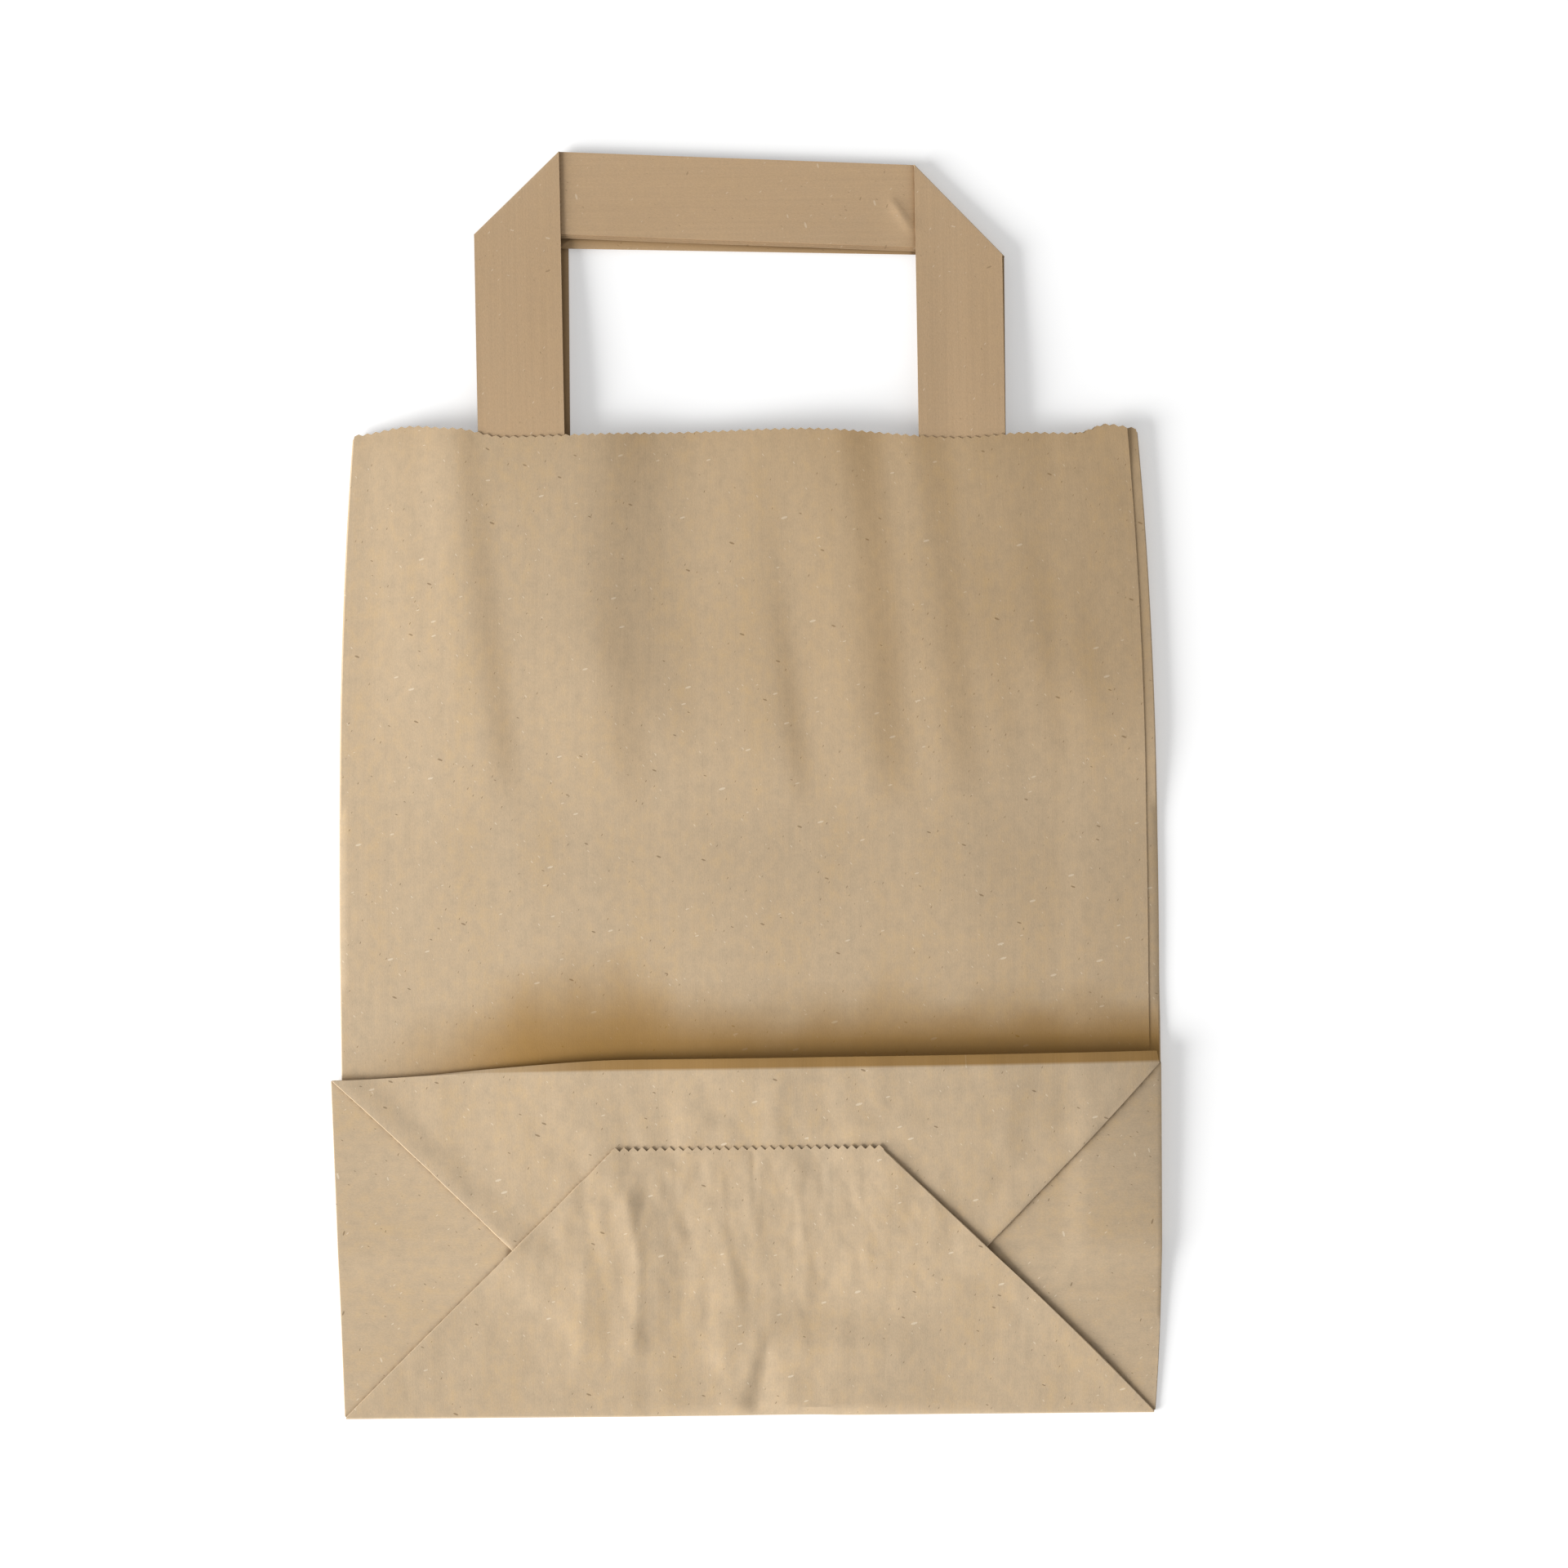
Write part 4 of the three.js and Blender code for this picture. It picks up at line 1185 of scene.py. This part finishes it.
def pulp_group():
    """Clouds, mottle, streaks along the web and fine grain of kraft pulp."""
    inputs = {"Vector": "Blank", "Color": "Colour Warm Pale", "Float": "Clouds Streaks Grain"}
    tree, given, result = group_tree("Kraft pulp", inputs, {"Color": "Colour", "Float": "Height"})
    clouds, mottle, streaks, grain = (pattern(tree, given["Blank"], *facts) for facts in PULP_PATTERNS)
    stained = added(tree, clouds, STAIN_CLOUDS, mottle)
    warmth = product(tree, calculate(tree, "MAXIMUM", stained, 0.0), given["Clouds"])
    paleness = product(tree, calculate(tree, "MINIMUM", stained, 0.0), given["Clouds"])
    warmed = mix_colours(tree, warmth, given["Colour"], given["Warm"])
    tinted = mix_colours(tree, product(tree, paleness, -STAIN_PALE), warmed, given["Pale"])
    uneven = product(tree, added(tree, clouds, SHADE_CLOUDS, mottle), given["Clouds"])
    shade = added(tree, uneven, SHADE_DEPTH, 1.0)
    shade = added(tree, streaks, given["Streaks"], shade)
    shade = added(tree, grain, given["Grain"], shade)
    toned = add_node(tree, "ShaderNodeVectorMath", {0: tinted, "Scale": shade}, operation="SCALE")
    relief = added(tree, mottle, MOTTLE_RELIEF, added(tree, streaks, STREAK_RELIEF, grain))
    tree.links.new(toned.outputs[0], result["Colour"])
    tree.links.new(relief, result["Height"])
    return tree


# Flecks in the paper: tint, size of the cells they lie in, turn, share of the cells and thickness
FLECKS = (
    ("Dark", 1.7 * MM, 0.5, 0.35, 0.1 * MM),
    ("Pale", 1.9 * MM, -0.7, 0.45, 0.12 * MM),
    ("Dark", 2.9 * MM, -1.2, 0.14, 0.2 * MM),
    ("Pale", 3.3 * MM, 1.3, 0.22, 0.25 * MM),
)
FLECK_STRETCH = 3.0


def fleck_mask(tree, blank, cell, turn, chosen, thickness):
    """Short fibres: a thin oval in each of the chosen cells of a scattered pattern."""
    inputs = {"Vector": blank, "Rotation": (0, 0, turn), "Scale": (cell, FLECK_STRETCH * cell, 1)}
    spots = add_node(tree, "ShaderNodeMapping", inputs, vector_type="TEXTURE").outputs[0]
    cells = add_node(tree, "ShaderNodeTexVoronoi", {"Vector": spots, "Scale": 1.0}, voronoi_dimensions="2D")
    luck = add_node(tree, "ShaderNodeSeparateColor", {0: cells.outputs["Color"]})
    radius = product(tree, luck.outputs[1], thickness / cell)
    inside = calculate(tree, "LESS_THAN", cells.outputs["Distance"], radius)
    return product(tree, inside, calculate(tree, "LESS_THAN", luck.outputs[0], chosen))


def fleck_group():
    """Dark shives and pale fibres scattered in the paper."""
    inputs = {"Vector": "Blank", "Color": "Colour Dark Pale", "Float": "Amount"}
    tree, given, result = group_tree("Fibre flecks", inputs, {"Color": "Colour"})
    colour = given["Colour"]
    for tint, *facts in FLECKS:
        mask = fleck_mask(tree, given["Blank"], *facts)
        colour = mix_colours(tree, product(tree, mask, given["Amount"]), colour, given[tint])
    tree.links.new(colour, result["Colour"])
    return tree


WEAR_PATTERN = ((500, 500), 2, 0.5)
WEAR_SPREAD = 0.5
WEAR_LEVEL = 0.6
# Painted shadow line beside an edge of paper that lies over: its width and strength
SHADOW_LINE_WIDTH = 0.3 * MM
SHADOW_LINE_DEPTH = 0.68


def wear_and_painted_shade_group():
    """Pale fibres along creases, painted shade in folds and a painted shadow line beside an edge that lies
    over.
    """
    inputs = {"Vector": "Blank", "Color": "Colour Pale Deep Dark", "Float": "Crease Shelter Cover Amount"}
    tree, given, result = group_tree("Crease wear and painted shade", inputs, {"Color": "Colour"})
    patchy = added(tree, pattern(tree, given["Blank"], *WEAR_PATTERN), WEAR_SPREAD, WEAR_LEVEL)
    worn = product(tree, product(tree, patchy, given["Crease"]), given["Amount"])
    faded = mix_colours(tree, worn, given["Colour"], given["Pale"])
    # Painted shade mixed in where the paper lies in shade in a fold
    in_painted_shade = mix_colours(tree, given["Shelter"], faded, given["Deep"])
    close = calculate(tree, "EXPONENT", product(tree, given["Cover"], -1 / SHADOW_LINE_WIDTH))
    shadow_lined = mix_colours(tree, product(tree, close, SHADOW_LINE_DEPTH), in_painted_shade, given["Dark"])
    tree.links.new(shadow_lined, result["Colour"])
    return tree


def new_material(name):
    """A new material, its node tree and its shader."""
    material = bpy.data.materials.new(name)
    material.use_nodes = True
    return material, material.node_tree, material.node_tree.nodes["Principled BSDF"]


PAPER_GRAIN = 0.1
PAPER_WEAR = 0.08
PAPER_ROUGHNESS = 0.88
PAPER_SPECULAR = 0.2
RELIEF_STRENGTH = 0.5
RELIEF_HEIGHT = 0.02 * MM


def kraft_material(name, colour, colours, clouds=0.42, streaks=0.02, flecks=0.55):
    """Matt unbleached paper with its pulp, flecks and worn creases, and painted shade in folds and painted
    shadow lines beside overlapping edges.
    """
    material, tree, shader = new_material(name)
    # The deep tint is the colour of the painted shade; the dark one also draws the painted shadow lines
    dark, pale, warm, deep = (
        (*tint, 1) for tint in (colours.dark_fleck_and_shadow_line, colours.pale_fleck, colours.warm, colours.deep)
    )

    def attribute(key, output):
        return add_node(tree, "ShaderNodeAttribute", attribute_name=key).outputs[output]

    blank = attribute("blank", "Vector")
    tones = {tone.capitalize(): attribute(tone, "Fac") for tone in PLAIN_PAPER}

    def shared(label, build, inputs):
        """One of the shared effects, built once and given this paper's own values."""
        group = bpy.data.node_groups.get(label) or build()
        return add_node(tree, "ShaderNodeGroup", {"Blank": blank, "Pale": pale, **inputs}, node_tree=group)

    amounts = {"Clouds": clouds, "Streaks": streaks, "Grain": PAPER_GRAIN}
    pulp = shared("Kraft pulp", pulp_group, {"Colour": (*colour, 1), "Warm": warm, **amounts})
    flecked = {"Colour": pulp.outputs["Colour"], "Dark": dark, "Amount": flecks}
    fleck = shared("Fibre flecks", fleck_group, flecked)
    # The worn creases, with the painted shade and the painted shadow lines
    worn = {"Colour": fleck.outputs["Colour"], "Deep": deep, "Dark": dark, "Amount": PAPER_WEAR}
    wear = shared("Crease wear and painted shade", wear_and_painted_shade_group, {**worn, **tones})
    raised = {"Height": pulp.outputs["Height"], "Strength": RELIEF_STRENGTH, "Distance": RELIEF_HEIGHT}
    finish = {
        "Base Color": wear.outputs["Colour"],
        "Normal": add_node(tree, "ShaderNodeBump", raised).outputs["Normal"],
        "Roughness": PAPER_ROUGHNESS,
        "Specular IOR Level": PAPER_SPECULAR,
    }
    wire(tree, shader, finish)
    return material


def seat(piece, node):
    """The piece stands for its node, which it hides, and rides on the bag."""
    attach(piece, BODY)
    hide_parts(node)


class CARRIERBAG_OT_body(bpy.types.Operator):
    """Fold the bag's sheet"""

    bl_idname = "carrierbag.body"
    bl_label = "Fold Bag"

    def execute(self, context):
        settings = context.scene.carrier_bag
        material = kraft_material("Kraft body", settings.colours.body, settings.colours)
        piece = fold_bag(settings).make("bag_sheet", settings.bag.paper, material)
        seat(piece, "bag_body")
        return {"FINISHED"}


class CARRIERBAG_OT_handles(bpy.types.Operator):
    """Fold the two tape handles"""

    bl_idname = "carrierbag.handles"
    bl_label = "Fold Handles"

    def execute(self, context):
        settings = context.scene.carrier_bag
        tape = settings.tape
        plan = BagPlan(settings.bag, tape)
        material = kraft_material(
            "Kraft tape", settings.colours.tape, settings.colours, clouds=0.12, streaks=0.05, flecks=0.35
        )
        rear_height = tape.thickness / 2
        handles = {
            "front_handle": (plan.front_handle, "frontLegs", rear_height + tape.lift, True, LEGS),
            "rear_handle": (plan.rear_handle, "rearLegs", rear_height, False, (*LEGS, "bar")),
        }
        for node, facts in handles.items():
            piece = fold_tape(settings, *facts).make(f"{node}_tape", tape.thickness / TAPE_PLIES, material)
            seat(piece, node)
        return {"FINISHED"}


class CARRIERBAG_OT_patches(bpy.types.Operator):
    """Cut the patches pasted over the handles' legs"""

    bl_idname = "carrierbag.patches"
    bl_label = "Cut Patches"

    def execute(self, context):
        settings = context.scene.carrier_bag
        material = kraft_material("Kraft patch", settings.colours.patch, settings.colours)
        front = settings.tape.front_offset
        patches = {
            "front_handle_patch": (front, "frontPatch"),
            "rear_handle_patch": (front + settings.tape.rear_shift, "rearPatch"),
        }
        for node, (offset, layer) in patches.items():
            piece = cut_patch(settings, offset, layer).make(f"{node}_paper", settings.bag.paper, material)
            seat(piece, node)
        return {"FINISHED"}


WHITE = (1, 1, 1, 1)
FLOOR_SIDE = 1.0
FLOOR_DROP = 0.05 * MM
FLOOR_WHITE = (0.86, 0.86, 0.86, 1)
FLOOR_ROUGHNESS = 0.9
KEY_PLACE = Vector((-2.5, -1.2, 1.12))


def seen_directly(tree):
    """1 for the camera and for what reflections and clear things show of the stage."""
    path = tree.nodes.new("ShaderNodeLightPath")
    seen = calculate(tree, "MAXIMUM", path.outputs["Is Camera Ray"], path.outputs["Is Glossy Ray"])
    return calculate(tree, "MAXIMUM", seen, path.outputs["Is Transmission Ray"])


def floor_material(glow):
    """White floor that keeps the shadows and glows a little to the camera."""
    material, tree, shader = new_material("White floor")
    finish = {
        "Base Color": FLOOR_WHITE,
        "Roughness": FLOOR_ROUGHNESS,
        "Specular IOR Level": 0.0,
        "Emission Color": WHITE,
        "Emission Strength": product(tree, seen_directly(tree), glow),
    }
    wire(tree, shader, finish)
    return material


class CARRIERBAG_OT_stage(bpy.types.Operator):
    """Set the white floor, the soft light and the camera that looks straight down"""

    bl_idname = "carrierbag.stage"
    bl_label = "Set Stage"

    def execute(self, context):
        stage = context.scene.carrier_bag.stage
        self.lay_floor(stage)
        self.light(context, stage)
        self.aim_camera(context, stage)
        context.scene.view_settings.view_transform = "Standard"
        return {"FINISHED"}

    def lay_floor(self, stage):
        half = FLOOR_SIDE / 2
        corners = [(-half, -half, 0), (half, -half, 0), (half, half, 0), (-half, half, 0)]
        mesh = bpy.data.meshes.new("floor")
        mesh.from_pydata(corners, [], [(0, 1, 2, 3)])
        mesh.materials.append(floor_material(stage.floor_glow))
        floor = add_object("floor", mesh)
        floor.location.z = -FLOOR_DROP
        floor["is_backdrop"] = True

    def light(self, context, stage):
        lamp = bpy.data.lights.new("Soft key", "AREA")
        lamp.energy = stage.key_power
        lamp.size = stage.key_size
        key = add_object("Soft key", lamp)
        key.location = KEY_PLACE
        key.rotation_euler = (-KEY_PLACE).to_track_quat("-Z", "Y").to_euler()
        world = bpy.data.worlds.new("White surroundings")
        world.use_nodes = True
        tree = world.node_tree
        levels = {"Value": seen_directly(tree), "To Min": stage.fill, "To Max": 1.0}
        strength = add_node(tree, "ShaderNodeMapRange", levels).outputs[0]
        wire(tree, tree.nodes["Background"], {"Color": WHITE, "Strength": strength})
        context.scene.world = world

    def aim_camera(self, context, stage):
        camera = bpy.data.cameras.new("Overhead")
        camera.sensor_width = SENSOR_WIDTH / MM
        camera.lens = SENSOR_WIDTH / MM * stage.camera_height / stage.field
        overhead = add_object("Overhead", camera)
        aim = fold_origin() + (stage.aim_across, stage.aim_up, 0)
        overhead.location = (aim[0], aim[1], stage.camera_height)
        overhead.rotation_euler = (0, 0, -stage.roll)
        context.scene.camera = overhead


class CARRIERBAG_PT_sidebar(bpy.types.Panel):
    """Carrier bag settings in the 3D view's sidebar"""

    bl_idname = "CARRIERBAG_PT_sidebar"
    bl_label = "Carrier Bag"
    bl_space_type = "VIEW_3D"
    bl_region_type = "UI"
    bl_category = "Carrier Bag"

    def draw(self, context):
        settings = context.scene.carrier_bag
        for group in (settings.bag, settings.tape, settings.colours, settings.stage):
            box = self.layout.box()
            for key in group.__annotations__:
                box.prop(group, key)
        for operator in OPERATORS:
            self.layout.operator(operator.bl_idname)


GROUPS = (BagSizes, TapeSizes, PaperColours, StageSizes, CarrierBag)
OPERATORS = (CARRIERBAG_OT_body, CARRIERBAG_OT_handles, CARRIERBAG_OT_patches, CARRIERBAG_OT_stage)
CLASSES = (*GROUPS, *OPERATORS, CARRIERBAG_PT_sidebar)


def register():
    for cls in CLASSES:
        bpy.utils.register_class(cls)
    bpy.types.Scene.carrier_bag = PointerProperty(type=CarrierBag)


def unregister():
    del bpy.types.Scene.carrier_bag
    for cls in reversed(CLASSES):
        bpy.utils.unregister_class(cls)


def main():
    register()
    bpy.ops.carrierbag.body()
    bpy.ops.carrierbag.handles()
    bpy.ops.carrierbag.patches()
    bpy.ops.carrierbag.stage()
    boxes = {"cad": CAD_BOX, "visual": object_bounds()}
    {name: [list(corner) for corner in box] for name, box in boxes.items()}


if __name__ == "__main__":
    main()
